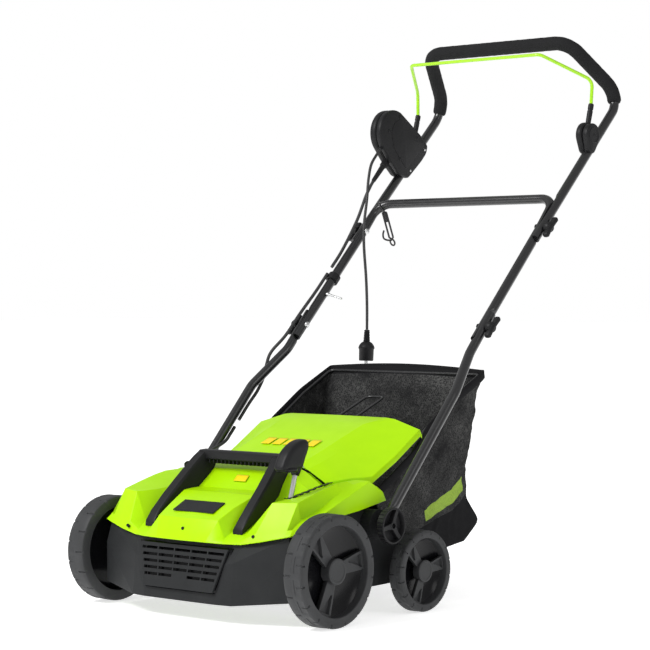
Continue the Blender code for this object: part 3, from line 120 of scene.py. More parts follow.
class Finish:
    # one material: its nodes, its shader and the inputs that vary
    def __init__(self, name, roughness=0.5, metallic=0.0, coat=0.0, coatRoughness=0.1, specular=0.5, sheen=0.0):
        self.material = bpy.data.materials.new(name)
        self.material.use_nodes = True
        self.tree = self.material.node_tree
        self.shader = self.tree.nodes["Principled BSDF"]
        fixed = {"Roughness": roughness, "Metallic": metallic, "Coat Weight": coat,
                 "Coat Roughness": coatRoughness, "Specular IOR Level": specular, "Sheen Weight": sheen}
        for socket, value in fixed.items():
            self.shader.inputs[socket].default_value = value

    def node(self, kind, settings=None, out=0, **sockets):
        made = self.tree.nodes.new("ShaderNode" + kind)
        for key, value in (settings or {}).items():
            setattr(made, key, value)
        for key, value in sockets.items():
            slot = made.inputs[int(key[1:])] if key[0] == "i" and key[1:].isdigit() else made.inputs[key]
            if isinstance(value, Num):
                self.tree.links.new(value.socket, slot)
            else:
                slot.default_value = value
        return Num(self.tree, made.outputs[out])

    def place(self, scale=(1, 1, 1), turn=(0, 0, 0)):
        spot = self.node("TexCoord", out="Object")
        return self.node("Mapping", Vector=spot, Scale=scale, Rotation=turn)

    def noise(self, where, scale, detail=4.0, rough=0.55):
        return self.node("TexNoise", Vector=where, Scale=scale, Detail=detail, Roughness=rough)

    def mix(self, share, first, second):
        return self.node("Mix", {"data_type": "RGBA"}, out=2, i0=share, i6=first, i7=second)

    def bump(self, height, strength, distance):
        got = self.node("Bump", Height=height, Strength=strength, Distance=distance)
        self.feed("Normal", got)

    def feed(self, socket, value):
        self.tree.links.new(value.socket, self.shader.inputs[socket])


def mouldedPlastic(name, colour, darker, roughness, grain, coat=0.0, specular=0.20):
    # fine moulded grain, a faint cloudiness and worn, slightly glossier patches
    made = Finish(name, roughness, coat=coat, coatRoughness=0.25, specular=specular)
    where = made.place()
    fine = made.noise(where, 1500.0, 2.0)
    cloud = made.noise(where, 22.0, 5.0)
    made.feed("Base Color", made.mix((cloud * 1.5 - 0.35).clamp(), (*colour, 1), (*darker, 1)))
    made.feed("Roughness", roughness - 0.09 + cloud * 0.12 + fine * 0.06)
    made.bump(fine + cloud * 0.3, grain, 0.0004)
    return made.material


def tubePaint(name, colour, roughness):
    # powder coat: orange peel and a few light scuffs
    made = Finish(name, roughness, coat=0.35, coatRoughness=0.18)
    where = made.place()
    peel = made.noise(where, 420.0, 2.0)
    scuff = made.noise(made.place((1, 1, 6)), 60.0, 6.0, 0.7)
    lighter = tuple(min(1.0, c * 1.9 + 0.012) for c in colour)
    made.feed("Base Color", made.mix(((scuff - 0.62) * 9.0).clamp(), (*colour, 1), (*lighter, 1)))
    made.feed("Roughness", roughness + (scuff - 0.5) * 0.22)
    made.bump(peel, 0.10, 0.0005)
    return made.material


def foamRubber():
    # closed cells under a skin
    made = Finish("foamRubber", 0.9, specular=0.25)
    where = made.place()
    cells = made.node("TexVoronoi", {"feature": "F1"}, Vector=where, Scale=650.0)
    cloud = made.noise(where, 30.0, 4.0)
    made.feed("Base Color", made.mix(cloud, (0.007, 0.007, 0.008, 1), (0.016, 0.016, 0.017, 1)))
    made.feed("Roughness", 0.82 + cells * 0.15)
    made.bump(cells + cloud * 0.4, 0.35, 0.0008)
    return made.material


def bareSteel():
    # zinc plate with fine streaks
    made = Finish("zincSteel", 0.3, metallic=1.0)
    streak = made.noise(made.place((1, 40, 40)), 40.0, 5.0)
    made.feed("Base Color", made.mix(streak, (0.55, 0.56, 0.57, 1), (0.80, 0.80, 0.79, 1)))
    made.feed("Roughness", 0.18 + streak * 0.26)
    made.bump(streak, 0.05, 0.0003)
    return made.material


def meshCloth():
    # a knitted mesh on the side panels with painted glints, smooth tape on the rim and the foot, and a plain
    # stripe print
    made = Finish("bagMesh", 0.85, specular=0.12)
    spot = made.node("UVMap", {"uv_map": "metres"})
    knit = made.node("TexVoronoi", {"feature": "F1"}, Vector=spot, Scale=330.0)
    thread = made.node("TexWave", {"wave_type": "BANDS", "bands_direction": "DIAGONAL"}, out=1, Vector=spot,
                       Scale=120.0, Distortion=3.5, Detail=2.0)
    cloud = made.noise(made.place(), 16.0, 6.0, 0.62)
    panel = made.node("SeparateXYZ", Vector=made.node("UVMap", {"uv_map": "panel"}))
    down = Num(made.tree, panel.socket.node.outputs[1])
    side = Num(made.tree, panel.socket.node.outputs[0])
    netting = (1.0 - down.under(0.055)) * (1.0 - (down - 0.78 - (side - 0.6) * 0.05).over(0.0))
    # painted highlight: light grey glints where knit cells and cloud coincide, mixed into the knit's own colour
    glint = (knit * 1.6 - 0.25).clamp() * (cloud * 2.6 - 0.72).clamp()
    weaveAndGlint = made.mix((glint * 0.9 + thread * 0.12).clamp(), (0.005, 0.005, 0.006, 1), (0.085, 0.085, 0.083, 1))
    tape = made.mix(cloud, (0.006, 0.006, 0.007, 1), (0.014, 0.014, 0.015, 1))
    cloth = made.mix(netting, tape, weaveAndGlint)
    stripe = side.over(0.44) * side.under(0.93) * down.over(0.655) * down.under(0.745)
    lime = made.mix(thread, (0.30, 0.47, 0.055, 1), (0.40, 0.58, 0.09, 1))
    made.feed("Base Color", made.mix(stripe * netting * (1.0 - knit * 0.4), cloth, lime))
    made.feed("Roughness", 0.78 + cloud * 0.15)
    made.bump((knit + thread * 0.5) * (netting * 0.8 + 0.2) + cloud * 0.5, 0.55, 0.0012)
    return made.material


def cableRubber():
    # cloudy black rubber with a fine skin
    made = Finish("cableRubber", 0.5)
    where = made.place()
    cloud = made.noise(where, 90.0, 4.0)
    made.feed("Base Color", made.mix(cloud, (0.014, 0.014, 0.015, 1), (0.030, 0.030, 0.031, 1)))
    made.feed("Roughness", 0.42 + cloud * 0.2)
    made.bump(made.noise(where, 900.0, 2.0), 0.12, 0.0003)
    return made.material


def floorPaper():
    # white studio paper that glows a little, so that it stays white in the distance
    made = Finish("floorPaper", 0.75, specular=0.2)
    made.shader.inputs["Emission Color"].default_value = (1.0, 1.0, 1.0, 1.0)
    made.shader.inputs["Emission Strength"].default_value = 0.66
    cloud = made.noise(made.place(), 3.0, 5.0)
    made.feed("Base Color", made.mix(cloud, (0.86, 0.86, 0.86, 1), (0.89, 0.89, 0.888, 1)))
    made.bump(made.noise(made.place(), 300.0, 2.0), 0.03, 0.001)
    return made.material


lime = mouldedPlastic("limePlastic", (0.44, 0.80, 0.0), (0.39, 0.75, 0.0), 0.36, 0.08, specular=0.16)
dark = mouldedPlastic("darkPlastic", (0.019, 0.020, 0.021), (0.013, 0.014, 0.015), 0.56, 0.30)
black = mouldedPlastic("blackPlastic", (0.013, 0.013, 0.014), (0.008, 0.008, 0.009), 0.44, 0.25)
wheelGrey = mouldedPlastic("wheelPlastic", (0.046, 0.047, 0.049), (0.034, 0.035, 0.036), 0.52, 0.28)
# darkest glossy plastic: the wheel dishes and the pivot screw, and also painted shade in the screw holes, the
# lever slot, under the lever palm and behind the grille
dishAndShadeBlack = mouldedPlastic("dishAndShadePlastic", (0.006, 0.006, 0.007), (0.004, 0.004, 0.005), 0.22, 0.05)
labelYellow = mouldedPlastic("labelYellow", (0.92, 0.72, 0.01), (0.88, 0.68, 0.01), 0.35, 0.03)
paint = tubePaint("tubePaint", (0.008, 0.008, 0.009), 0.30)
limePaint = tubePaint("limePaint", (0.36, 0.72, 0.0), 0.30)
foam = foamRubber()
steel = bareSteel()
cloth = meshCloth()
rubber = cableRubber()
print("finishes made")


# ---- mesh helpers, all on whole arrays
def shifted(points):
    # from the axle frame to the row: Y = 0 moves from the front axle to the middle of the machine
    points = np.array(points, float)
    points[..., 1] -= midY
    return points


def gridFaces(rows, columns, first=0, wrap=False):
    # quads between neighbouring rows and columns of a grid of points
    r = np.arange(rows - 1)[:, None]
    c = np.arange(columns if wrap else columns - 1)[None, :]
    after = (c + 1) % columns
    quads = np.stack([r * columns + c, r * columns + after, (r + 1) * columns + after, (r + 1) * columns + c],
                     -1)
    return quads.reshape(-1, 4) + first


def grid(points, wrap=False, caps=False):
    # a surface over a grid of points; caps closes the first and last row with a fan to its middle
    rows, columns, _ = points.shape
    verts = points.reshape(-1, 3)
    faces = [gridFaces(rows, columns, 0, wrap)]
    if caps:
        middles = np.array([points[0].mean(0), points[-1].mean(0)])
        k = np.arange(columns)
        low = np.stack([(k + 1) % columns, k, np.full(columns, len(verts))], -1)
        high = np.stack([k, (k + 1) % columns, np.zeros(columns, int)], -1) + (rows - 1) * columns
        high[:, 2] = len(verts) + 1
        verts = np.vstack([verts, middles])
        faces += [low, high]
    return verts, faces


def combine(parts):
    # several (points, faces) pairs as one, each block of faces counted on from the last
    verts, faces, first = [], [], 0
    for partVerts, partFaces in parts:
        verts.append(partVerts)
        faces += [f + first for f in partFaces]
        first += len(partVerts)
    return np.vstack(verts), faces


def frames(points):
    # parallel transport of a side vector along the points
    points = np.asarray(points, float)
    along = np.gradient(points, axis=0)
    along /= np.linalg.norm(along, axis=1)[:, None]
    start = np.array([0.13, 0.31, 0.94]) if abs(along[0][0]) > 0.5 else np.array([1.0, 0.02, 0.03])
    sides = [start]
    for direction in along:
        side = sides[-1] - direction * (sides[-1] @ direction)
        sides.append(side / np.linalg.norm(side))
    side = np.array(sides[1:])
    return points, along, side, np.cross(along, side)


def tube(points, radius, around=20, caps=True):
    # a circle of the radius, one per point, carried square to the path
    points, _, side, other = frames(points)
    turn = np.linspace(0, 2 * math.pi, around, endpoint=False)
    radius = np.broadcast_to(np.asarray(radius, float), (len(points),))[:, None, None]
    ringed = side[:, None] * np.cos(turn)[None, :, None] + other[:, None] * np.sin(turn)[None, :, None]
    return grid(points[:, None] + ringed * radius, wrap=True, caps=caps)


def turnedAlong(start, end, profile, around=28, wave=None):
    # circles of (distance along, radius) on the line from start to end; wave changes the radius with the angle
    start, end = np.asarray(start, float), np.asarray(end, float)
    axis = (end - start) / np.linalg.norm(end - start)
    side = np.cross(axis, [0.12, 0.31, 0.94] if abs(axis[0]) > 0.5 else [1.0, 0.05, 0.02])
    side /= np.linalg.norm(side)
    other = np.cross(axis, side)
    turn = np.linspace(0, 2 * math.pi, around, endpoint=False)
    profile = np.array(profile, float)
    radius = profile[:, 1][:, None] * np.ones(around)
    if wave is not None:
        radius = wave(profile, turn, radius)
    ringed = side * np.cos(turn)[:, None] + other * np.sin(turn)[:, None]
    points = start + axis * profile[:, 0][:, None, None] + ringed[None] * radius[..., None]
    return grid(points, wrap=True, caps=True)


def plateX(outline, low, high, edge=0.0015):
    # a flat outline of (Y, Z) points between two X planes, its edges rounded by rings drawn inwards
    outline = np.array(outline, float)
    before, after = np.roll(outline, 1, 0), np.roll(outline, -1, 0)
    area = 0.5 * np.sum(before[:, 0] * outline[:, 1] - outline[:, 0] * before[:, 1])
    tangent = after - before
    tangent /= np.linalg.norm(tangent, axis=1)[:, None] + 1e-12
    inward = np.stack([-tangent[:, 1], tangent[:, 0]], 1) * (1 if area > 0 else -1)
    rings = []
    turn = np.radians([0, 30, 60, 90])
    steps = [(low + edge * (1 - math.sin(a)), edge * (1 - math.cos(a))) for a in turn[::-1]]
    steps += [(high - edge * (1 - math.sin(a)), edge * (1 - math.cos(a))) for a in turn]
    for x, inset in steps:
        flat = outline + inward * inset
        rings.append(np.column_stack([np.full(len(flat), x), flat]))
    return grid(np.array(rings), wrap=True, caps=True)


def roundedRoute(corners, radius, step=6.0):
    # straight runs between corners, each corner replaced by an arc of the radius
    corners = [np.array(c, float) for c in corners]
    radii = radius if hasattr(radius, "__len__") else [radius] * (len(corners) - 2)
    route = [corners[0]]
    for before, corner, after, bend in zip(corners, corners[1:], corners[2:], radii):
        arriving = (before - corner) / np.linalg.norm(before - corner)
        leaving = (after - corner) / np.linalg.norm(after - corner)
        turn = math.pi - math.acos(float(np.clip(arriving @ leaving, -1, 1)))
        middle = (arriving + leaving) / np.linalg.norm(arriving + leaving)
        centre = corner + middle * bend / math.cos(turn / 2)
        start = corner + arriving * bend * math.tan(turn / 2) - centre
        side = np.cross(np.cross(start, corner + leaving * bend * math.tan(turn / 2) - centre), start)
        side *= bend / np.linalg.norm(side)
        count = max(3, math.ceil(math.degrees(turn) / step))
        angles = np.linspace(0, turn, count + 1)[:, None]
        route += list(centre + start * np.cos(angles) + side * np.sin(angles))
    route.append(corners[-1])
    return evenly(np.array(route), 0.004)


def evenly(route, spacing):
    # the broken line sampled again at equal steps of its own length
    run = np.concatenate([[0.0], np.cumsum(np.linalg.norm(np.diff(route, axis=0), axis=1))])
    at = np.linspace(0.0, run[-1], max(2, round(run[-1] / spacing)) + 1)
    return np.stack([np.interp(at, run, route[:, k]) for k in range(3)], axis=1)


def smoothRoute(points, spacing):
    # Catmull-Rom curve through the points, at even steps
    points = np.array(points, float)
    ends = np.vstack([2 * points[0] - points[1], points, 2 * points[-1] - points[-2]])
    t = np.linspace(0.0, 1.0, 24, endpoint=False)[:, None]
    fine = [0.5 * (2 * b + (c - a) * t + (2 * a - 5 * b + 4 * c - d) * t**2 + (3 * b - a - 3 * c + d) * t**3)
            for a, b, c, d in zip(ends, ends[1:], ends[2:], ends[3:])]
    return evenly(np.vstack(fine + [points[-1:]]), spacing)


def piece(name, shape, material, body, hides=(), smooth=35.0, merge=0.0, ride=True):
    # a mesh object at the origin from points and faces in the row's frame
    verts, faces = shape
    mesh = bpy.data.meshes.new(name)
    mesh.from_pydata(verts.tolist(), [], [f for block in faces for f in block.tolist()])
    obj = bpy.data.objects.new(name, mesh)
    bpy.context.scene.collection.objects.link(obj)
    cleaned(mesh, merge)
    mesh.materials.append(material)
    mesh.shade_smooth()
    mesh.set_sharp_from_angle(angle=math.radians(smooth))
    if ride:
        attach(obj, body)
    if hides:
        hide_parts(*hides)
    return obj


def cleaned(mesh, merge=0.0):
    # doubles merged where asked, then every face turned outwards
    bm = bmesh.new()
    bm.from_mesh(mesh)
    if merge:
        bmesh.ops.remove_doubles(bm, verts=bm.verts, dist=merge)
    bmesh.ops.recalc_face_normals(bm, faces=bm.faces)
    bm.to_mesh(mesh)
    bm.free()


def bevelled(obj, width, angle=28.0, segments=2, wall=0.0):
    # live modifiers: a wall inwards where asked, then rounded edges
    if wall:
        shell = obj.modifiers.new("wall", "SOLIDIFY")
        shell.thickness, shell.offset = wall, -1.0
    edge = obj.modifiers.new("edges", "BEVEL")
    edge.width, edge.segments = width, segments
    edge.limit_method, edge.angle_limit = "ANGLE", math.radians(angle)
    edge.harden_normals = False
    return obj


def repaint(material, *nodes):
    # the finish on every slot of CAD nodes that keep their own mesh
    for name in nodes:
        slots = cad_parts[name].material_slots
        for k in range(len(slots)):
            slots[k].material = material


setCamera()
floorMesh = bpy.data.meshes.new("floor")
floorMesh.from_pydata([(-30, -30, 0), (30, -30, 0), (30, 30, 0), (-30, 30, 0)], [], [(0, 1, 2, 3)])
floor = bpy.data.objects.new("floor", floorMesh)
floorMesh.materials.append(floorPaper())
bpy.context.scene.collection.objects.link(floor)
setLights([
    ("keyLight", (-1.2, -3.2, 3.4), (46, 0, -20), (2.0, 1.4), 150.0),
    ("fillLight", (3.6, -0.6, 2.4), (58, 0, 84), (1.2, 1.8), 16.0),
    ("backLight", (0.3, 3.4, 3.0), (-50, 0, 180), (3.0, 1.6), 22.0),
])

# ---- free mains lead with its plug
lead = {
    "radius": 0.0030,
    "route": [(-0.2250, 0.7500, 0.8955), (-0.2220, 0.7330, 0.8810), (-0.215, 0.707, 0.859),
              (-0.207, 0.688, 0.825),
              (-0.198, 0.672, 0.782), (-0.190, 0.654, 0.735), (-0.187, 0.649, 0.686), (-0.186, 0.655, 0.617),
              (-0.186, 0.658, 0.560), (-0.186, 0.658, 0.508)],
}
leadPath = shifted(smoothRoute(lead["route"], 0.006))
mainsLead = piece("mainsLead", tube(leadPath, lead["radius"], 16), rubber, "upper_handle",
                  ["mains_lead"])


def makePlug():
    # circles along the plug's axis: ribbed sleeve, shoulder and barrel, then two pins
    x, y, z = lead["route"][-1]
    top = np.array([x, y - midY, z - 0.0003])
    foot = top + np.array([0.0, -0.003, -0.0660])
    ribs = [(0.001 + k * 0.0034 + shift, 0.0062 + 0.00018 * k - drop)
            for k in range(7) for shift, drop in ((0.0, 0.0012), (0.0006, 0.0), (0.0022, 0.0),
                                                  (0.0028, 0.0012))]
    body = [(0.0, 0.0045)] + ribs + [(0.0262, 0.0095), (0.0290, 0.0128), (0.0330, 0.0155), (0.0370, 0.0171),
                                     (0.0395, 0.0172), (0.0405, 0.0166), (0.0420, 0.0158), (0.0640, 0.0154),
                                     (0.0655, 0.0146), (0.0660, 0.0130)]
    shape = [turnedAlong(top, foot, body, 32)]
    made = piece("mainsPlug", combine(shape), black, "upper_handle", ["mains_plug"])
    pins = []
    for shift in (-0.0095, 0.0095):
        at = np.array([x + shift * 0.76, y - midY - 0.003 - shift * 0.65, top[2] - 0.0645])
        pins.append(turnedAlong(at, at - [0, 0, 0.021], [(0, 0.0024), (0.018, 0.0024), (0.0205, 0.0015)], 16))
    piece("plugPins", combine(pins), steel, "upper_handle")
    return made


plug = makePlug()

# ---- motor cable, in three lengths
cable = {
    "radius": 0.0034,
    "motorCableHigh": ("motor_cable_high", ("upper_handle", "middle_handle"), (-0.236, 0.730, 0.806),
                       (-0.236, 0.668, 0.716),
                       [(-0.236, 0.7395, 0.8262), (-0.236, 0.7280, 0.8120), (-0.236, 0.7130, 0.7900),
                        (-0.236, 0.6900, 0.7480), (-0.236, 0.6640, 0.7110), (-0.236, 0.6320, 0.6710),
                        (-0.236, 0.6020, 0.6400)]),
    "motorCableMiddle": ("motor_cable_middle", ("middle_handle", "lower_handle"), (-0.24, 0.540, 0.580),
                         (-0.24, 0.466, 0.500),
                         [(-0.236, 0.5880, 0.6260), (-0.236, 0.5520, 0.5900), (-0.236, 0.5000, 0.5420),
                          (-0.241, 0.4610, 0.4980), (-0.255, 0.4330, 0.4650), (-0.2605, 0.4250, 0.4410),
                          (-0.2610, 0.4170, 0.4150), (-0.2590, 0.3950, 0.3860), (-0.2560, 0.3650, 0.3600),
                          (-0.2560, 0.3360, 0.3290)]),
    "motorCableLow": ("motor_cable_low", ("lower_handle", "deck"), (-0.254, 0.315, 0.308),
                      (-0.222, 0.195, 0.268),
                      [(-0.2560, 0.3230, 0.3150), (-0.2520, 0.3060, 0.3020), (-0.2450, 0.2820, 0.2880),
                       (-0.2320, 0.2280, 0.2740), (-0.2150, 0.1740, 0.2640), (-0.2000, 0.1360, 0.2560)]),
}
for name in ("motorCableHigh", "motorCableMiddle", "motorCableLow"):
    node, bodies, start, end, route = cable[name]
    made = piece(name, tube(shifted(smoothRoute(route, 0.005)), cable["radius"], 16), rubber, bodies[0],
                 [node], ride=False)
    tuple(shifted(start))
    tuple(shifted(end))
    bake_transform(made)
print("cords made")

# ---- handle tubes
handle = {
    "radius": 0.0095, "leg": 0.2336, "innerLeg": 0.2300, "pivot": 0.2595, "lapPlane": 0.2318, "lap": 0.034,
    "pivotAt": (0.165, 0.166), "low": (0.5046, 0.5195), "high": (0.6992, 0.7167), "bar": (0.7510, 0.7760),
    "knee": (0.987, 0.9945), "top": (0.8655, 1.1045), "topHalf": 0.1818, "foam": 0.0145,
}


def lineWay(start, end):
    # the unit direction from one place to the other
    step = np.array(end) - np.array(start)
    return step / np.linalg.norm(step)


def along(joint, run, distance, away=0.0):
    # joint + run * distance + the run turned a quarter * away, in Y and Z
    return tuple(np.array(joint) + run * distance + np.array([-run[1], run[0]]) * away)


legRun = lineWay(handle["low"], handle["high"])
gripRun = lineWay(handle["high"], handle["knee"])


def flattened(shape, laps, outwardKept):
    # near a bolt the tube is pressed flat: X is held to the lap plane, easing in over 14 mm
    verts, faces = shape
    verts = verts.copy()
    side = np.sign(verts[:, 0])
    x = np.abs(verts[:, 0])
    plane = handle["lapPlane"] + (0.00015 if outwardKept else -0.00015)
    for joint, first, last in laps:
        s = (verts[:, 1:] + [midY, 0.0] - np.array(joint)) @ legRun
        weight = np.clip((s - first) / 0.014 + 1, 0, 1) * np.clip((last - s) / 0.014 + 1, 0, 1)
        weight = weight * weight * (3 - 2 * weight)
        held = np.maximum(x, plane) if outwardKept else np.minimum(x, plane)
        x = x + (held - x) * weight
    verts[:, 0] = side * x
    return verts, faces


def makeTubes():
    # circles carried along rounded routes, pressed flat near the bolts and at the feet
    h = handle
    lowBend, highBend = (0.3790, 0.3980), (0.4590, 0.4700)
    end = np.array(h["low"]) + lineWay(highBend, h["low"]) * h["lap"]
    start = np.array(h["pivotAt"]) - lineWay(h["pivotAt"], lowBend) * 0.016
    for label, side in (("Left", -1.0), ("Right", 1.0)):
        corners = [(side * h["leg"], *end), (side * h["leg"], *highBend), (side * h["pivot"], *lowBend),
                   (side * h["pivot"], *start)]
        route = shifted(roundedRoute(corners, 0.06))
        verts, faces = flattened(tube(route, h["radius"], 28), [(h["low"], -0.030, 0.05)], True)
        # the foot is pressed flat where the side knob clamps it
        s = (verts[:, 1:] + [midY, 0.0] - np.array(h["pivotAt"])) @ lineWay(h["pivotAt"], lowBend)
        weight = np.clip((0.046 - s) / 0.022, 0, 1)
        weight = weight * weight * (3 - 2 * weight)
        away = verts[:, 0] - side * h["pivot"]
        verts[:, 0] = side * h["pivot"] + away * (1 - 0.50 * weight)
        piece("lowerTube" + label, (verts, faces), paint, "lower_handle",
              ["lower_tube_" + label.lower()])
    end = np.array(h["low"]) - legRun * h["lap"]
    half = [(h["innerLeg"], *end), (h["innerLeg"], *h["high"]), (h["innerLeg"], *h["bar"])]
    route = shifted(roundedRoute(half + [(-x, y, z) for x, y, z in half[::-1]], [0.3, 0.034, 0.034, 0.3]))
    shape = flattened(tube(route, h["radius"], 28), [(h["low"], -0.05, 0.030), (h["high"], -0.030, 0.058)],
                      False)
    piece("middleTube", shape, paint, "middle_handle", ["middle_tube"])
    low = along(h["high"], gripRun, -h["lap"])
    half = [(h["leg"], *low), (h["leg"], *h["knee"]), (h["topHalf"], *h["top"])]
    route = roundedRoute(half + [(-x, y, z) for x, y, z in half[::-1]], [0.046, 0.045, 0.045, 0.046])
    shape = flattened(tube(shifted(route), h["radius"], 28), [(h["high"], -0.05, 0.076)], True)
    piece("upperTube", shape, paint, "upper_handle", ["upper_tube"])
    distance = np.linalg.norm(route - np.array(half[1]), axis=1)
    first = int(np.argmin(distance[: len(route) // 2]))
    reach = 0.046 * math.tan(math.radians(24)) + 0.0035
    while np.linalg.norm(route[first] - np.array(half[1])) < reach:
        first -= 1
    grip = shifted(route[first:len(route) - first])
    s = np.concatenate([[0.0], np.cumsum(np.linalg.norm(np.diff(grip, axis=0), axis=1))])
    edge = np.minimum(s, s[-1] - s)
    radius = h["foam"] - 0.0022 * np.exp(-edge / 0.0018) + 0.00022 * np.sin(s * 310.0) * np.sin(s * 93.0)
    piece("foamGrip", tube(grip, radius, 32), foam, "upper_handle", ["foam_grip"])


makeTubes()

# ---- bail
bail = {"radius": 0.0035, "x": 0.2270, "hub": (0.866, 0.910), "top": (0.2270, 0.8839, 0.9719),
        "upper": (0.2290, 0.8859, 1.0241), "bar": (0.1679, 0.7848, 1.0736)}


def makeBail():
    # a thin circle carried along the bail's route, with a stepped socket turned on each end
    hub = np.array([bail["x"], *bail["hub"]])
    top = np.array(bail["top"])
    out = (top - hub) / np.linalg.norm(top - hub)
    half = [top - out * 0.014, top, np.array(bail["upper"]), np.array(bail["bar"])]
    whole = half + [p * [-1, 1, 1] for p in half[::-1]]
    route = shifted(roundedRoute(whole, [0.02, 0.02, 0.014, 0.014, 0.02, 0.02]))
    piece("bailBar", tube(route, bail["radius"], 20), limePaint, "bail", ["bail_bar"])
    for label, side in (("Left", -1.0), ("Right", 1.0)):
        flip = np.array([side, 1.0, 1.0])
        at, tip = shifted(hub * flip), shifted(top * flip)
        lean = out * flip
        disc = turnedAlong(at - [0.006, 0, 0], at + [0.006, 0, 0],
                           [(0, 0.0105), (0.001, 0.0118), (0.011, 0.0118), (0.012, 0.0105)], 32)
        steps = [(0.0, 0.0048), (0.030, 0.0056), (0.046, 0.0058), (0.0465, 0.0050), (0.049, 0.0050),
                 (0.0495, 0.0058),
                 (0.0585, 0.0058), (0.0605, 0.0052), (0.0609, 0.0042)]
        reach = np.linalg.norm(tip - at)
        steps = [(d * reach / 0.0609, r) for d, r in steps]
        piece("bailSocket" + label, combine([disc, turnedAlong(at + lean * 0.004, tip + lean * 0.004, steps,
                                                               24)]), black,
              "bail", ["bail_socket_" + label.lower()])


makeBail()

# ---- switch box on the left tube, pivot housing on the right one
switchBox = {
    "corners": [(0.1640, 0.0550), (0.1680, 0.0100), (0.1830, -0.0120), (0.2450, -0.0170), (0.2690, -0.0160),
                (0.2850, -0.0070), (0.2830, 0.0250), (0.2640, 0.1060)],
    "lobe": ((0.2160, 0.0890), 0.0510, (24, 184)),
    "cover": (-0.2316, -0.2175), "base": (-0.2494, -0.2320),
    "screws": [(0.2543, 0.1160), (0.2044, 0.1190), (0.1904, 0.0392), (0.2660, 0.0330)],
    "brightScrews": [(0.2690, -0.0050), (0.1992, -0.0040)],
}


def softCorners(outline, radius, count=5):
    # each corner of a closed outline becomes a short arc (a quadratic curve between the cut points)
    outline = np.array(outline, float)
    before, after = np.roll(outline, 1, 0), np.roll(outline, -1, 0)
    lengthBefore = np.linalg.norm(outline - before, axis=1)
    lengthAfter = np.linalg.norm(after - outline, axis=1)
    cut = np.minimum(radius, np.minimum(lengthBefore, lengthAfter) * 0.42)[:, None]
    start = outline + (before - outline) / lengthBefore[:, None] * cut
    end = outline + (after - outline) / lengthAfter[:, None] * cut
    t = np.linspace(0, 1, count)[None, :, None]
    curve = (1 - t) ** 2 * start[:, None] + 2 * t * (1 - t) * outline[:, None] + t**2 * end[:, None]
    return curve.reshape(-1, 2)


def tubeSpot(corner):
    # (distance along the grip tube, distance away from it) as Y and Z
    y, z = along(handle["high"], gripRun, *corner)
    return (y - midY, z)


def makeSwitchBox():
    # one outline of straight runs and a round lobe, as two plates, with screws and the lock-off button
    box = switchBox
    centre, radius, (first, last) = box["lobe"]
    turn = np.radians(np.linspace(first, last, 15))
    lobe = [(centre[0] + radius * math.cos(a), centre[1] + radius * math.sin(a)) for a in turn]
    outline = softCorners([tubeSpot(c) for c in box["corners"] + lobe], 0.006)
    cover = plateX(outline, *box["cover"], 0.0042)
    # a raised island on the cover, its edge in line with the tube
    island = [(0.1900, 0.0080), (0.2780, 0.0050), (0.2745, 0.0260), (0.2540, 0.1000), (0.2300, 0.1080),
              (0.2080, 0.1000), (0.1900, 0.0700)]
    raised = plateX(softCorners([tubeSpot(c) for c in island], 0.008), box["cover"][1] - 0.002,
                    box["cover"][1] + 0.0008, 0.0007)
    piece("switchCover", combine([cover, raised]), black, "upper_handle", ["switch_cover"])
    piece("switchBase", plateX(outline, *box["base"], 0.0055), black, "upper_handle",
          ["switch_base"])
    holeShades, rims = [], []
    x = box["cover"][1]
    for corner in box["screws"]:
        y, z = tubeSpot(corner)
        if corner[1] > 0.1:
            y, z = tubeSpot((corner[0], corner[1] - 0.012))
        holeShades.append(turnedAlong([x - 0.002, y, z], [x + 0.001, y, z],
                                 [(0, 0.0027), (0.0030, 0.0027), (0.0034, 0.0022)], 18))
        rims.append(turnedAlong([x - 0.002, y, z], [x + 0.001, y, z],
                                [(0, 0.0040), (0.0026, 0.0040), (0.0031, 0.0034)], 18))
    piece("switchScrewRims", combine(rims), black, "upper_handle")
    # painted shade: dark glossy discs inside the rims stand in for the shade down the screw holes
    piece("switchScrewHoleShades", combine(holeShades), dishAndShadeBlack, "upper_handle")
    bright = []
    for corner in box["brightScrews"]:
        y, z = tubeSpot(corner)
        bright.append(turnedAlong([x - 0.002, y, z], [x + 0.002, y, z],
                                  [(0, 0.0026), (0.0028, 0.0026), (0.0034, 0.0019)], 18))
    piece("switchClampScrews", combine(bright), steel, "upper_handle")
    buttonY, buttonZ = tubeSpot((0.212, 0.102))
    button = [(0, 0.0084), (0.0006, 0.0089), (0.0045, 0.0090), (0.0070, 0.0089)]
    piece("lockOffButton", turnedAlong([-0.2540, buttonY, buttonZ], [-0.2470, buttonY, buttonZ], button, 32),
          lime,
          "lock_off", ["lock_off_button"])


def circleHull(first, firstR, second, secondR, count=20):
    # the outline round two circles: an arc of each, joined by their common tangents
    apart = math.dist(first, second)
    heading = math.atan2(second[1] - first[1], second[0] - first[0])
    lean = math.acos((firstR - secondR) / apart)
    big = np.linspace(heading + lean, heading + 2 * math.pi - lean, count)
    small = np.linspace(heading - lean, heading + lean, count)
    return ([(first[0] + firstR * math.cos(a), first[1] + firstR * math.sin(a)) for a in big]
            + [(second[0] + secondR * math.cos(a), second[1] + secondR * math.sin(a)) for a in small])


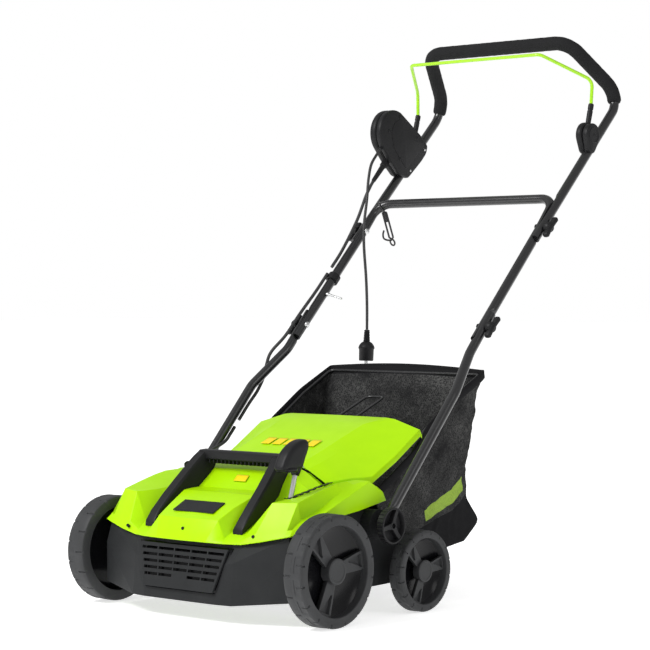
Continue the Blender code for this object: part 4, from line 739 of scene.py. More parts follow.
def makePivotHousing():
    # two plates with the outline round two circles, and a turned rim and screw
    hub = (bail["hub"][0] - midY, bail["hub"][1])
    foot = (0.862 - midY, 0.884)
    for name, node, radius, across in (("pivotHousingInner", "pivot_housing_inner", 0.0265, (0.2175, 0.2316)),
                                       ("pivotHousingOuter", "pivot_housing_outer", 0.0240, (0.2320, 0.2470))):
        body = plateX(circleHull(hub, radius, foot, 0.0125, 26), *across, 0.0040)
        parts = [body]
        if node.endswith("outer"):
            face = across[1]
            parts.append(turnedAlong([face - 0.002, *hub], [face + 0.001, *hub],
                                     [(0, 0.0170), (0.0022, 0.0170), (0.0030, 0.0160), (0.0030, 0.0150),
                                      (0.0022, 0.0145)], 36))
        piece(name, combine(parts), black, "upper_handle", [node])
    screw = turnedAlong([0.2455, hub[0], hub[1]], [0.2480, hub[0], hub[1]],
                        [(0, 0.0030), (0.0018, 0.0030), (0.0024, 0.0022)], 18)
    piece("pivotScrew", screw, dishAndShadeBlack, "upper_handle")


makeSwitchBox()
makePivotHousing()


def makeReliefs():
    # turned sleeves whose ribs are equal steps, each a little thinner than the last
    inner = shifted([-0.2262, 0.7690, 0.9120])
    outer = leadPath[0]
    length = np.linalg.norm(outer - inner)
    ribs = [(length * (0.42 + 0.56 * k / 6) + d, 0.0062 - 0.0004 * k - drop) for k in range(6) for d,
            drop in ((0, 0.0009), (0.0003, 0), (0.0016, 0), (0.0019, 0.0009))]
    piece("mainsRelief", turnedAlong(inner, outer, [(0, 0.0062), (length * 0.38, 0.0062),
            (length * 0.41, 0.0054)] + ribs + [(length - 0.0003, 0.0036)], 24),
          black, "upper_handle", ["mains_relief"])
    inner = shifted([-0.2360, 0.7920, 0.8790])
    outer = shifted([-0.236, 0.7395, 0.8262])
    length = np.linalg.norm(outer - inner)
    piece("motorCableRelief", turnedAlong(inner, outer,
                                          [(0, 0.0080), (length * 0.36, 0.0078), (length * 0.38, 0.0060),
          (length * 0.9, 0.0048), (length * 0.98, 0.0046), (length - 0.0003, 0.0042)], 24), black,
          "upper_handle", ["motor_cable_relief"])
    first, last = shifted([-0.2150, 0.1740, 0.2640]), shifted([-0.2000, 0.1360, 0.2560])
    run = (last - first) / np.linalg.norm(last - first)
    piece("cableGland", turnedAlong(last, last + run * 0.012,
                                    [(0.0003, 0.0046), (0.004, 0.0058), (0.006, 0.0066), (0.012, 0.0070)], 24),
          black, "deck", ["cable_gland"])


makeReliefs()
print("handle made")

# ---- wheels
wheels = {
    "front": {"radius": 0.100, "width": 0.0423, "outside": 0.2931, "y": 0.0, "cap": 0.0235},
    "rear": {"radius": 0.0751, "width": 0.030, "outside": 0.2843, "y": 0.2602, "cap": 0.0205},
    "notches": 16,
}


def makeWheel(label, side, spec):
    # rings of a profile (depth, radius), cut by notches at equal angles; bowl, hub and three arms inside
    radius, width = spec["radius"], spec["width"]
    ringIn = radius * 0.80
    outside = spec["outside"]
    node = f"wheel_{label}_{'left' if side < 0 else 'right'}"
    around = 288

    def spot(depth, r, turn):
        # depth is measured inwards from the wheel's outer face
        x = side * (outside - depth)
        return np.stack([x * np.ones_like(turn), spec["y"] - midY + r * np.cos(turn),
                         radius + r * np.sin(turn)], -1)

    turn = np.linspace(0, 2 * math.pi, around, endpoint=False)
    count = wheels["notches"]
    phase = (turn * count / (2 * math.pi)) % 1.0
    # outer shoulder: a narrow notch at each pitch, inner half shifted by half a pitch, blocks outlined between
    notch = np.clip(1.0 - np.abs(phase - 0.5) / 0.055, 0, 1) > 0.3
    notchInner = np.clip(1.0 - np.abs((phase + 0.5) % 1.0 - 0.5) / 0.055, 0, 1) > 0.3
    raised = (np.abs(phase - 0.02) < 0.14) | (np.abs(phase - 1.02) < 0.14)
    profile = [
        (0.020, ringIn, 0), (0.0045, ringIn, 0), (0.0010, ringIn + 0.0006, 0), (0.0, ringIn + 0.0018, 0),
        (0.0, ringIn + 0.006, 0), (0.0, radius - 0.0085, 0), (0.0, radius - 0.0080, 1),
        (0.0, radius - 0.0040, 1),
        (0.0012, radius - 0.0016, 1), (0.0034, radius - 0.0003, 1), (0.0060, radius, 1),
        (width * 0.30, radius, 1),
        (width * 0.305, radius, 2), (width * 0.42, radius, 2), (width * 0.425, radius - 0.0002, 0),
        (width * 0.575, radius - 0.0002, 0),
        (width * 0.58, radius, 3), (width * 0.72, radius, 3), (width * 0.725, radius, 3),
        (width - 0.0050, radius, 3),
        (width - 0.0016, radius - 0.0014, 3), (width, radius - 0.0045, 0), (width, ringIn + 0.002, 0),
        (width, ringIn, 0), (0.022, ringIn, 0),
    ]
    rows = []
    for depth, r, kind in profile:
        cut = np.zeros(around)
        push = np.zeros(around)
        if kind == 1:
            cut = notch * 0.0022
            push = notch * 0.0022 if depth < 0.001 else np.zeros(around)
        elif kind == 2:
            cut = notch * 0.0012
        elif kind == 3:
            cut = notchInner * 0.0020
        inBlock = (kind in (1, 2)) and 0.006 <= depth <= width * 0.43
        if inBlock:
            cut = cut + (~raised & ~notch) * 0.0009
        x = depth + push
        rr = r - cut if r > radius - 0.009 else np.full(around, r)
        rows.append(np.stack([side * (outside - x) * np.ones(around), spec["y"] - midY + rr * np.cos(turn),
                              radius + rr * np.sin(turn)], -1))
    rows.append(rows[0])
    tyre = grid(np.array(rows), wrap=True)
    # dish behind the spokes: a shallow bowl
    dishProfile = [(0.0150, ringIn + 0.0005), (0.0190, ringIn - 0.004), (0.0230, ringIn * 0.82),
                   (0.0250, ringIn * 0.60), (0.0255, 0.018), (0.0255, 0.004)]
    dishProfile = [(min(d, width - 0.004), r) for d, r in dishProfile]
    dish = [spot(d, r, turn[::3]) for d, r in dishProfile]
    back = [spot(min(d + 0.0025, width - 0.001), r, turn[::3]) for d, r in dishProfile[::-1]]
    dishShape = grid(np.array(dish + back), wrap=True)
    # spokes: a flat arm with a three-cornered pocket in its outer half
    arms = []
    cap = spec["cap"]
    a, b = np.meshgrid(np.linspace(0, 1, 41), np.linspace(-1, 1, 37), indexing="ij")
    scale = radius / 0.1
    length = ringIn + 0.001 - cap * 0.9
    half = (0.0115 + 0.0065 * a) * scale
    inside = (a > 0.34) & (a < 0.90) & (b > -0.72 + (0.90 - a) * 2.0) & (b < 0.62)
    depthFace = 0.0100 * scale + inside * 0.0060 * scale
    skirt = np.abs(b) > 0.97
    depthFace = np.where(skirt, 0.0185 * scale, depthFace)
    for k in range(3):
        angle = math.radians(10.0 + 120.0 * k)
        r = cap * 0.9 + length * a
        across = half * np.clip(b / 0.97, -1, 1)
        y = spec["y"] - midY + r * math.cos(angle) - across * math.sin(angle)
        z = radius + r * math.sin(angle) + across * math.cos(angle)
        face = np.stack([side * (outside - depthFace), y, z], -1)
        arms.append(grid(face))
    # hub: a stepped barrel with a shallow dimple in its cap
    hubProfile = [(0.022 * scale, 0.0), (0.0219 * scale, cap - 0.001), (0.0075, cap - 0.0006), (0.0040, cap),
                  (0.0022, cap - 0.0004),
                  (0.0015, cap - 0.0016), (0.0015, cap * 0.80), (0.0023, cap * 0.76), (0.0023, cap * 0.2),
                  (0.0023, 0.0)]
    hubPoints = np.array([spot(d, r, turn[::4]) for d, r in hubProfile])
    hubShape = grid(hubPoints, wrap=True)
    body = f"{label}_wheel_{'left' if side < 0 else 'right'}"
    name = f"{label}Wheel{'Left' if side < 0 else 'Right'}"
    piece(name, combine([tyre, hubShape]), wheelGrey, body, [node], smooth=32, merge=1e-6)
    spokes = piece(name + "Spokes", combine(arms), wheelGrey, body, smooth=32)
    shell = spokes.modifiers.new("wall", "SOLIDIFY")
    shell.thickness, shell.offset = 0.0016, -1.0
    piece(name + "Dish", dishShape, dishAndShadeBlack, body, smooth=40, merge=1e-6)


for label in ("front", "rear"):
    for side in (-1.0, 1.0):
        makeWheel(label, side, wheels[label])
print("wheels made")

# ---- hood and flap: rows of (X, Y, Z) across the right half, front to back
hood = {
    "wall": 0.0025, "edge": 0.0022,
    "front": [
        [(0, -0.0970, 0.1425), (0.060, -0.0945, 0.1425), (0.098, -0.0880, 0.1425), (0.132, -0.0786, 0.1427),
         (0.170, -0.0725, 0.1490), (0.2150, -0.0610, 0.1585), (0.2301, -0.0562, 0.1619),
         (0.2370, -0.0440, 0.1640), (0.2390, -0.0300, 0.1660)],
        [(0, -0.0790, 0.1810), (0.074, -0.0740, 0.1805), (0.092, -0.0765, 0.1500), (0.130, -0.0715, 0.1500),
         (0.158, -0.0665, 0.1625), (0.2160, -0.0500, 0.1700), (0.2265, -0.0465, 0.1715),
         (0.2350, -0.0360, 0.1725), (0.2395, -0.0260, 0.1735)],
        [(0, -0.0400, 0.2010), (0.079, -0.0380, 0.2005), (0.093, -0.0450, 0.1650), (0.137, -0.0450, 0.1650),
         (0.1697, -0.0363, 0.2155), (0.2175, -0.0211, 0.2173), (0.2215, -0.0180, 0.1860),
         (0.2360, -0.0150, 0.1830), (0.2400, -0.0120, 0.1770)],
        [(0, 0.0069, 0.2210), (0.0891, 0.0069, 0.2205), (0.104, 0.0060, 0.1890), (0.137, 0.0060, 0.1890),
         (0.1620, 0.0080, 0.2170), (0.2175, 0.0200, 0.2290), (0.2220, 0.0220, 0.1980), (0.2390, 0.0250, 0.1960),
         (0.2410, 0.0250, 0.1800)],
        [(0, 0.0450, 0.2240), (0.094, 0.0450, 0.2240), (0.110, 0.0450, 0.2080), (0.137, 0.0450, 0.2060),
         (0.1580, 0.0450, 0.2210), (0.2175, 0.0560, 0.2385), (0.2235, 0.0600, 0.2160), (0.2400, 0.0620, 0.2110),
         (0.2410, 0.0620, 0.1870)],
        [(0, 0.0800, 0.2590), (0.095, 0.0800, 0.2570), (0.118, 0.0800, 0.2480), (0.142, 0.0800, 0.2360),
         (0.1600, 0.0800, 0.2270), (0.2165, 0.0850, 0.2445), (0.2260, 0.0880, 0.2300), (0.2400, 0.0900, 0.2220),
         (0.2410, 0.0900, 0.1905)],
        [(0, 0.1095, 0.2690), (0.095, 0.1095, 0.2670), (0.120, 0.1095, 0.2600), (0.145, 0.1095, 0.2450),
         (0.1640, 0.1095, 0.2320), (0.2130, 0.1150, 0.2460), (0.2275, 0.1180, 0.2410), (0.2400, 0.1200, 0.2340),
         (0.2410, 0.1200, 0.1940)],
    ],
    "arms": [
        [(0.1770, 0.1480, 0.2360), (0.2085, 0.1500, 0.2460), (0.2285, 0.1500, 0.2460), (0.2400, 0.1500, 0.2450),
         (0.2410, 0.1500, 0.1990)],
        [(0.1890, 0.1840, 0.2310), (0.2060, 0.1860, 0.2360), (0.2285, 0.1860, 0.2320), (0.2400, 0.1880, 0.2230),
         (0.2410, 0.1960, 0.2070)],
    ],
}
flap = {
    "wall": 0.0025, "edge": 0.0022,
    "rows": [
        [(0, 0.1180, 0.2705), (0.095, 0.1180, 0.2685), (0.120, 0.1180, 0.2620), (0.1600, 0.1200, 0.2400),
         (0.1605, 0.1210, 0.2280)],
        [(0, 0.1650, 0.2880), (0.100, 0.1650, 0.2870), (0.125, 0.1650, 0.2790), (0.1800, 0.1650, 0.2460),
         (0.1810, 0.1650, 0.2340)],
        [(0, 0.2370, 0.3160), (0.103, 0.2370, 0.3150), (0.123, 0.2330, 0.3000), (0.2000, 0.2050, 0.2480),
         (0.2020, 0.2050, 0.2360)],
        [(0, 0.2926, 0.3375), (0.1057, 0.2926, 0.3366), (0.1350, 0.2840, 0.3180), (0.2030, 0.2700, 0.2830),
         (0.2050, 0.2700, 0.2710)],
        [(0, 0.3466, 0.3480), (0.120, 0.3466, 0.3475), (0.1400, 0.3466, 0.3455), (0.2030, 0.3440, 0.3280),
         (0.2055, 0.3440, 0.3160)],
        [(0, 0.3520, 0.3370), (0.120, 0.3520, 0.3365), (0.1410, 0.3520, 0.3345), (0.2035, 0.3495, 0.3170),
         (0.2058, 0.3470, 0.3120)],
    ],
}


def bothHalves(rows):
    # a grid mirrored at X = 0, left edge to right edge
    half = np.array(rows, float)
    left = half[:, :0:-1] * [-1, 1, 1]
    return grid(shifted(np.concatenate([left, half], axis=1)))


def makeHood():
    # a grid over the rows, mirrored, with the arms carried on from its rear corners
    parts = [bothHalves(hood["front"])]
    last = np.array(hood["front"][-1][4:], float)
    for side in (-1.0, 1.0):
        rows = np.array([last] + [np.array(row) for row in hood["arms"]]) * [side, 1, 1]
        parts.append(grid(shifted(rows)))
    # a step tucked under the flap's front edge
    rear = np.array(hood["front"][-1][:5], float)
    rows = np.array([rear, rear + [0, 0.0030, -0.0050], rear + [0, 0.0160, -0.0060]])
    parts.append(grid(shifted(np.concatenate([rows[:, :0:-1] * [-1, 1, 1], rows], axis=1))))
    made = piece("hoodShell", combine(parts), lime, "deck", ["hood"], smooth=30, merge=1e-5)
    if made.data.polygons and sum(p.normal.z * p.area for p in made.data.polygons) < 0:
        made.data.flip_normals()
    bevelled(made, hood["edge"], 14, 3, hood["wall"])
    # the lever's toothed slot, drawn as a dark strip edged with teeth laid on the hood: painted shade standing
    # in for the open slot
    y = np.linspace(-0.0035, 0.1140, 113)
    top = np.interp(y, [-0.0363, 0.0080, 0.0450, 0.0800, 0.1095, 0.1200],
                    [0.2155, 0.2190, 0.2255, 0.2325, 0.2372, 0.2400])
    step = np.floor(y / 0.0085) % 2
    rows = np.stack([np.stack([0.175 - 0.0050 - 0.0016 * step, y, top + 0.0022], -1),
                     np.stack([0.175 + 0.0050 + 0.0030 * step, y, top + 0.0036], -1)], axis=1)
    slotShade = piece("leverSlotShade", grid(shifted(rows)), dishAndShadeBlack, "deck")
    shell = slotShade.modifiers.new("wall", "SOLIDIFY")
    shell.thickness, shell.offset = 0.0012, 0.0
    screws = []
    for x, y, z in ((-0.155, -0.0745, 0.1560), (0.0, -0.0880, 0.1625), (0.155, -0.0700, 0.1570)):
        start = shifted((x, y + 0.0030, z - 0.0020))
        facing = np.array([0.0, -0.80, 0.60])
        screws.append(turnedAlong(start, start + facing * 0.0055,
                                  [(0, 0.0030), (0.0048, 0.0030), (0.0055, 0.0024), (0.0055, 0.0012),
                                   (0.0040, 0.0010), (0.0040, 0.0)], 24))
    piece("hoodScrews", combine(screws), black, "deck", smooth=30)


def makeFlap():
    # a grid over the rows, mirrored
    made = piece("flapShell", bothHalves(flap["rows"]), lime, "flap", ["rear_flap"], smooth=30)
    if sum(p.normal.z * p.area for p in made.data.polygons) < 0:
        made.data.flip_normals()
    bevelled(made, flap["edge"], 12, 3, flap["wall"])


def label(name, corners, material, body, lift=0.0005):
    # a thin sticker over four corners, divided so that it can follow the face
    c = shifted(corners)
    u, v = np.meshgrid(np.linspace(0, 1, 8), np.linspace(0, 1, 6), indexing="ij")
    u, v = u[..., None], v[..., None]
    flat = (1 - u) * (1 - v) * c[0] + u * (1 - v) * c[1] + u * v * c[2] + (1 - u) * v * c[3]
    normal = np.cross(c[1] - c[0], c[3] - c[0])
    normal /= np.linalg.norm(normal)
    made = piece(name, grid(flat + normal * lift), material, body)
    shell = made.modifiers.new("wall", "SOLIDIFY")
    shell.thickness, shell.offset = 0.0003, 1.0
    return made


makeHood()
makeFlap()
for place, left in enumerate((-0.062, -0.034, -0.006, 0.022, 0.050)):
    right = left + 0.022
    label(f"flapLabel{place}", [(left, 0.188, 0.2975), (right, 0.188, 0.2975), (right, 0.214, 0.3075),
                                (left, 0.214, 0.3075)], labelYellow, "flap", 0.0009)
label("hoodLabel", [(-0.010, 0.0570, 0.2374), (0.020, 0.0570, 0.2373), (0.020, 0.0680, 0.2478),
                    (-0.010, 0.0680, 0.2480)], labelYellow, "deck", 0.0011)
print("covers made")


# ---- carry handle: legs from the valleys, folded at the top into a cross bar
carry = {
    "rows": [(0.1100, -0.0620, 0.1570, 0.1640), (0.1105, -0.0600, 0.1578, 0.1690),
             (0.1110, -0.0480, 0.1650, 0.1850), (0.1090, -0.0200, 0.1790, 0.2135),
             (0.1060, 0.0060, 0.1915, 0.2380), (0.1020, 0.0300, 0.2040, 0.2610),
             (0.0980, 0.0500, 0.2180, 0.2800), (0.0950, 0.0620, 0.2330, 0.2895),
             (0.0935, 0.0700, 0.2420, 0.2920), (0.0930, 0.0800, 0.2560, 0.2925),
             (0.0930, 0.0850, 0.2640, 0.2900)],
    "wide": 0.0230,
}


def superSection(count, power=5.0):
    # a rounded rectangle of half sizes 1 x 1
    turn = np.linspace(0, 2 * math.pi, count, endpoint=False) + math.pi / count
    c, s = np.cos(turn), np.sin(turn)
    r = (np.abs(c) ** power + np.abs(s) ** power) ** (-1 / power)
    return c * r, s * r


def makeCarryHandle():
    # eight-cornered sections along each side beam, a rounded bar between them and ribs below it
    a, b = superSection(32, 7.0)
    parts = []
    for side in (-1.0, 1.0):
        x, y, low, high = np.array(carry["rows"]).T
        # a beam whose upper edges are chamfered and whose lower edge follows the valley
        wide = carry["wide"] / 2
        across = np.array([-1.0, -1.0, -0.80, 0.80, 1.0, 1.0, 0.9, -0.9])
        rise = np.array([0.02, 0.86, 1.0, 1.0, 0.86, 0.02, 0.0, 0.0])
        rows = np.stack([side * (x[:, None] + across * wide), y[:, None] + 0 * across - midY,
                         low[:, None] + (high - low)[:, None] * rise], -1)
        parts.append(grid(rows[:, ::int(side)], wrap=True, caps=True))
    x = np.array([-0.103, -0.098, 0.098, 0.103])
    size = np.array([0.94, 1.0, 1.0, 0.94])
    rows = [np.column_stack([np.full(32, px), 0.0715 - midY + a * 0.0118 * k, 0.2830 + b * 0.0092 * k]) for px,
            k in zip(x, size)]
    parts.append(grid(np.array(rows), wrap=True, caps=True))
    made = piece("carryGrip", combine(parts), black, "deck", ["carry_handle"], smooth=30)
    bevelled(made, 0.0009, 24, 2, 0.0)
    ribs = []
    for x in np.linspace(-0.085, 0.085, 18):
        rows = [np.column_stack([np.full(32, x + d), 0.0700 - midY + a * 0.0095,
                                 0.2712 + b * 0.0040]) for d in (-0.0011, 0.0011)]
        ribs.append(grid(np.array(rows), wrap=True, caps=True))
    piece("carryRibs", combine(ribs), black, "deck", smooth=40)


# ---- depth lever: a claw-shaped palm grip on its rod
lever = {
    "outline": [(-0.0265, 0.2745), (-0.0250, 0.2800), (-0.0145, 0.2985), (-0.0005, 0.3120), (0.0175, 0.3215),
                (0.0335, 0.3248), (0.0425, 0.3225),
                (0.0460, 0.3160), (0.0435, 0.3060), (0.0365, 0.2920), (0.0310, 0.2800), (0.0275, 0.2740),
                (0.0115, 0.2715), (-0.0065, 0.2700), (-0.0215, 0.2700)],
    "low": 0.1622, "high": 0.1882, "slot": (0.175, 0.0060, 0.2160), "top": (0.175, 0.0230, 0.2740),
}


def makeLever():
    # the palm: an outline swelling from each flat side to the middle, and a collar below in the darkest plastic
    # as painted shade under the palm
    outline = smoothRoute([(0.0, y, z) for y, z in lever["outline"]] + [(0.0, *lever["outline"][0])],
                          0.0022)[:-1, 1:]
    centre = outline.mean(axis=0)
    share = np.linspace(-1, 1, 17)
    swell = (1 - np.abs(share) ** 4.0) ** 0.5 * 0.24 + 0.76
    x = (lever["low"] + lever["high"]) / 2 + share * (lever["high"] - lever["low"]) / 2
    rows = np.concatenate([np.broadcast_to(x[:, None, None], (17, len(outline), 1)),
                           centre + (outline - centre) * swell[:, None, None]], -1)
    rows = np.concatenate([rows[:1] * [1, 0.6, 0.6] + [0, 0.4 * centre[0], 0.4 * centre[1]], rows,
                           rows[-1:] * [1, 0.6, 0.6] + [0, 0.4 * centre[0], 0.4 * centre[1]]])
    palm = grid(shifted(rows), wrap=True, caps=True)
    top = shifted(lever["top"])
    rod = (top - shifted(lever["slot"])) / np.linalg.norm(top - shifted(lever["slot"]))
    neck = turnedAlong(top - rod * 0.014, top + rod * 0.006,
                       [(0, 0.0062), (0.0010, 0.0074), (0.010, 0.0088), (0.020, 0.0110)], 28)
    made = piece("leverGrip", palm, black, "front_axle", ["lever_grip"], smooth=50)
    if sum(p.normal.x * p.area * p.center.x for p in made.data.polygons) < 0:
        made.data.flip_normals()
    a, b = superSection(36, 3.2)
    rows = [np.column_stack([0.1752 + a * 0.0142 * k, -0.0020 - midY + b * 0.0205 * k + lift * 0.2,
                             0.2735 + lift + b * -0.0010])
            for lift, k in ((-0.0060, 0.86), (-0.0045, 0.97), (-0.0020, 1.0), (0.0010, 1.0), (0.0025, 0.95))]
    # painted shade: the collar and neck take the darkest plastic for the shade under the palm
    piece("leverCollarShade", combine([grid(np.array(rows), wrap=True, caps=True), neck]), dishAndShadeBlack, "front_axle",
          smooth=45)


# ---- side knobs: a ribbed cup with three spokes round a bush
sideKnob = {"radius": 0.033, "deep": 0.016, "near": 0.2693, "ribs": 26}


def makeSideKnob(label, side):
    # a turned cup whose rim is cut by ribs at equal angles, a turned bush and three straight spokes
    y, z = handle["pivotAt"][0] - midY, handle["pivotAt"][1]
    near, deep, radius = sideKnob["near"], sideKnob["deep"], sideKnob["radius"]

    def ribbed(profile, turn, ring):
        phase = (turn * sideKnob["ribs"] / (2 * math.pi)) % 1.0
        groove = (np.abs(phase - 0.5) < 0.22) * 0.0011
        body = (profile[:, 0] > 0.0018) & (profile[:, 0] < deep - 0.0035) & (profile[:, 1] > radius - 0.001)
        return ring - body[:, None] * groove[None, :]

    profile = [(0.0, 0.0), (0.0, radius - 0.0035), (0.0012, radius - 0.0010), (0.0020, radius),
               (0.0022, radius), (deep - 0.0050, radius),
               (deep - 0.0045, radius), (deep - 0.0012, radius), (deep, radius - 0.0010),
               (deep, radius - 0.0030), (deep - 0.0010, radius - 0.0038),
               (0.0052, radius - 0.0046), (0.0045, radius - 0.0065), (0.0045, 0.0)]
    start = np.array([side * near, y, z])
    cup = turnedAlong(start, start + [side * deep, 0, 0], profile, 208, ribbed)
    parts = [cup]
    hub = [(0.004, 0.0085), (deep - 0.0020, 0.0078), (deep - 0.0014, 0.0070), (deep - 0.0014, 0.0050),
           (deep - 0.0060, 0.0048), (deep - 0.0060, 0.0)]
    parts.append(turnedAlong(start, start + [side * deep, 0, 0], hub, 40))
    for k in range(3):
        angle = math.radians(68.0 + 120.0 * k)
        out = np.array([0.0, math.cos(angle), math.sin(angle)])
        across = np.array([0.0, -math.sin(angle), math.cos(angle)])
        rows = []
        for r, half, rise in ((0.0065, 0.0052, deep - 0.0022), (0.0180, 0.0042, deep - 0.0026),
                              (radius - 0.0036, 0.0040, deep - 0.0014)):
            base = start + out * r
            rows.append([base + across * s * half + np.array([side * d, 0, 0]) for s, d in
                         ((-1, 0.004), (-1, rise - 0.0006), (-0.82, rise), (0.82, rise), (1, rise - 0.0006),
                          (1, 0.004))])
        parts.append(grid(np.array(rows), wrap=True, caps=True))
    piece("sideKnob" + label, combine(parts), black, "clamp_" + label.lower(),
          ["side_knob_" + label.lower()], smooth=34)


makeCarryHandle()
makeLever()
for sideName, side in (("Left", -1.0), ("Right", 1.0)):
    makeSideKnob(sideName, side)


# ---- wing knobs and bolts at the four tube joints
def makeFasteners():
    # turned bolts and barrels, with a rounded blade that is widest near its tips
    h = handle
    outer = h["leg"] + h["radius"] + 0.0003
    face = outer + 0.018
    head = h["innerLeg"] - h["radius"] - 0.0003
    for level, joint in (("Low", h["low"]), ("High", h["high"])):
        y, z = joint[0] - midY, joint[1]
        for label, side in (("Left", -1.0), ("Right", 1.0)):
            node = f"{level.lower()}_{label.lower()}"
            body = "middle_handle"
            start = np.array([side * (head - 0.0035), y, z])
            dome = [(0.0, 0.0), (0.0004, 0.0030), (0.0012, 0.0052), (0.0024, 0.0066), (0.0035, 0.0068),
                    (0.0036, 0.0030), (face - head - 0.002, 0.0030)]
            piece(f"wingBolt{level}{label}", turnedAlong(start, start + [side, 0, 0], dome, 28), steel, body,
                  ["wing_bolt_" + node])
            barrel = [(0, 0.0105), (0.0015, 0.0114), (0.0100, 0.0108), (0.0135, 0.0088), (0.0142, 0.0070),
                      (0.0142, 0.0034), (0.0120, 0.0034)]
            knob = turnedAlong([side * outer, y, z], [side * face, y, z], barrel, 32)
            a, b = superSection(28, 3.2)
            rows = []
            for s, tall, thick in ((-1.0, 0.35, 0.25), (-0.97, 0.75, 0.6), (-0.85, 0.98, 0.92),
                                   (-0.45, 0.86, 0.80), (0.0, 0.70, 0.80), (0.45, 0.86, 0.80),
                                   (0.85, 0.98, 0.92), (0.97, 0.75, 0.6), (1.0, 0.35, 0.25)):
                spot = np.array([side * (outer + 0.0108), y, z]) + np.array([0.0, *legRun]) * s * 0.0262
                wide = np.array([0.0, -legRun[1], legRun[0]])
                rows.append(spot + np.array([side, 0, 0]) * (a * 0.0068 * tall)[:,
                        None] + wide * (b * 0.0058 * thick)[:, None])
            parts = [knob, grid(np.array(rows), wrap=True, caps=True)]
            piece(f"wingKnob{level}{label}", combine(parts), black, "knob_" + node,
                  ["wing_knob_" + node], smooth=45)


makeFasteners()
print("fittings made")

# ---- grass bag: a cloth wall round three sides and a cloth floor
bag = {
    "half": 0.199, "thick": 0.0016, "down": 56, "alongSide": 64, "alongBack": 48,
    "rimU": [0.0, 0.4, 0.45, 0.73, 1.0], "rimY": [0.205, 0.345, 0.366, 0.461, 0.559],
    "rimZ": [0.212, 0.296, 0.328, 0.388, 0.434],
    "frontV": [0.0, 0.4, 0.8, 1.0], "frontY": [0.0, 0.030, 0.080, 0.095],
    "backV": [0.0, 0.13, 0.4, 0.66, 0.86, 1.0], "backY": [0.0, -0.020, -0.036, -0.056, -0.049, -0.010],
    "lowU": [0.0, 0.45, 0.8, 1.0], "lowZ": [0.104, 0.093, 0.104, 0.142],
}


def eased(at, xs, ys):
    # a smoothed broken line: the mean of five shifted samples
    shifts = np.array([-0.03, -0.015, 0.0, 0.015, 0.03])
    return np.mean([np.interp(np.clip(at + s, 0, 1), xs, ys) for s in shifts], axis=0)


def bagSide(u, v):
    # Y, Z of the side: the rim at u, leaning by the front and back curves, dropped by v to the low line
    rimY, rimZ = eased(u, bag["rimU"], bag["rimY"]), eased(u, bag["rimU"], bag["rimZ"])
    frontY, backY = eased(v, bag["frontV"], bag["frontY"]), eased(v, bag["backV"], bag["backY"])
    y = rimY + frontY * (1 - u) + backY * u
    z = rimZ + (np.interp(u, bag["lowU"], bag["lowZ"]) - rimZ) * v
    return y, z


def folds(s, t, seed):
    # soft creases: crossed sines with a wandering phase, sharpened into ridges
    rng = np.random.default_rng(seed)
    total = np.zeros_like(s)
    for _ in range(7):
        kx, ky = rng.uniform(3, 11) * rng.choice([-1, 1]), rng.uniform(4, 14)
        phase, wander = rng.uniform(0, 6.28), rng.uniform(0.8, 2.0)
        wave = np.sin(kx * s + ky * t + phase + wander * np.sin(2.3 * s + 3.1 * t + phase))
        total += (1 - np.abs(wave)) ** 2 * rng.uniform(0.5, 1.0)
    return total / 7 - 0.22


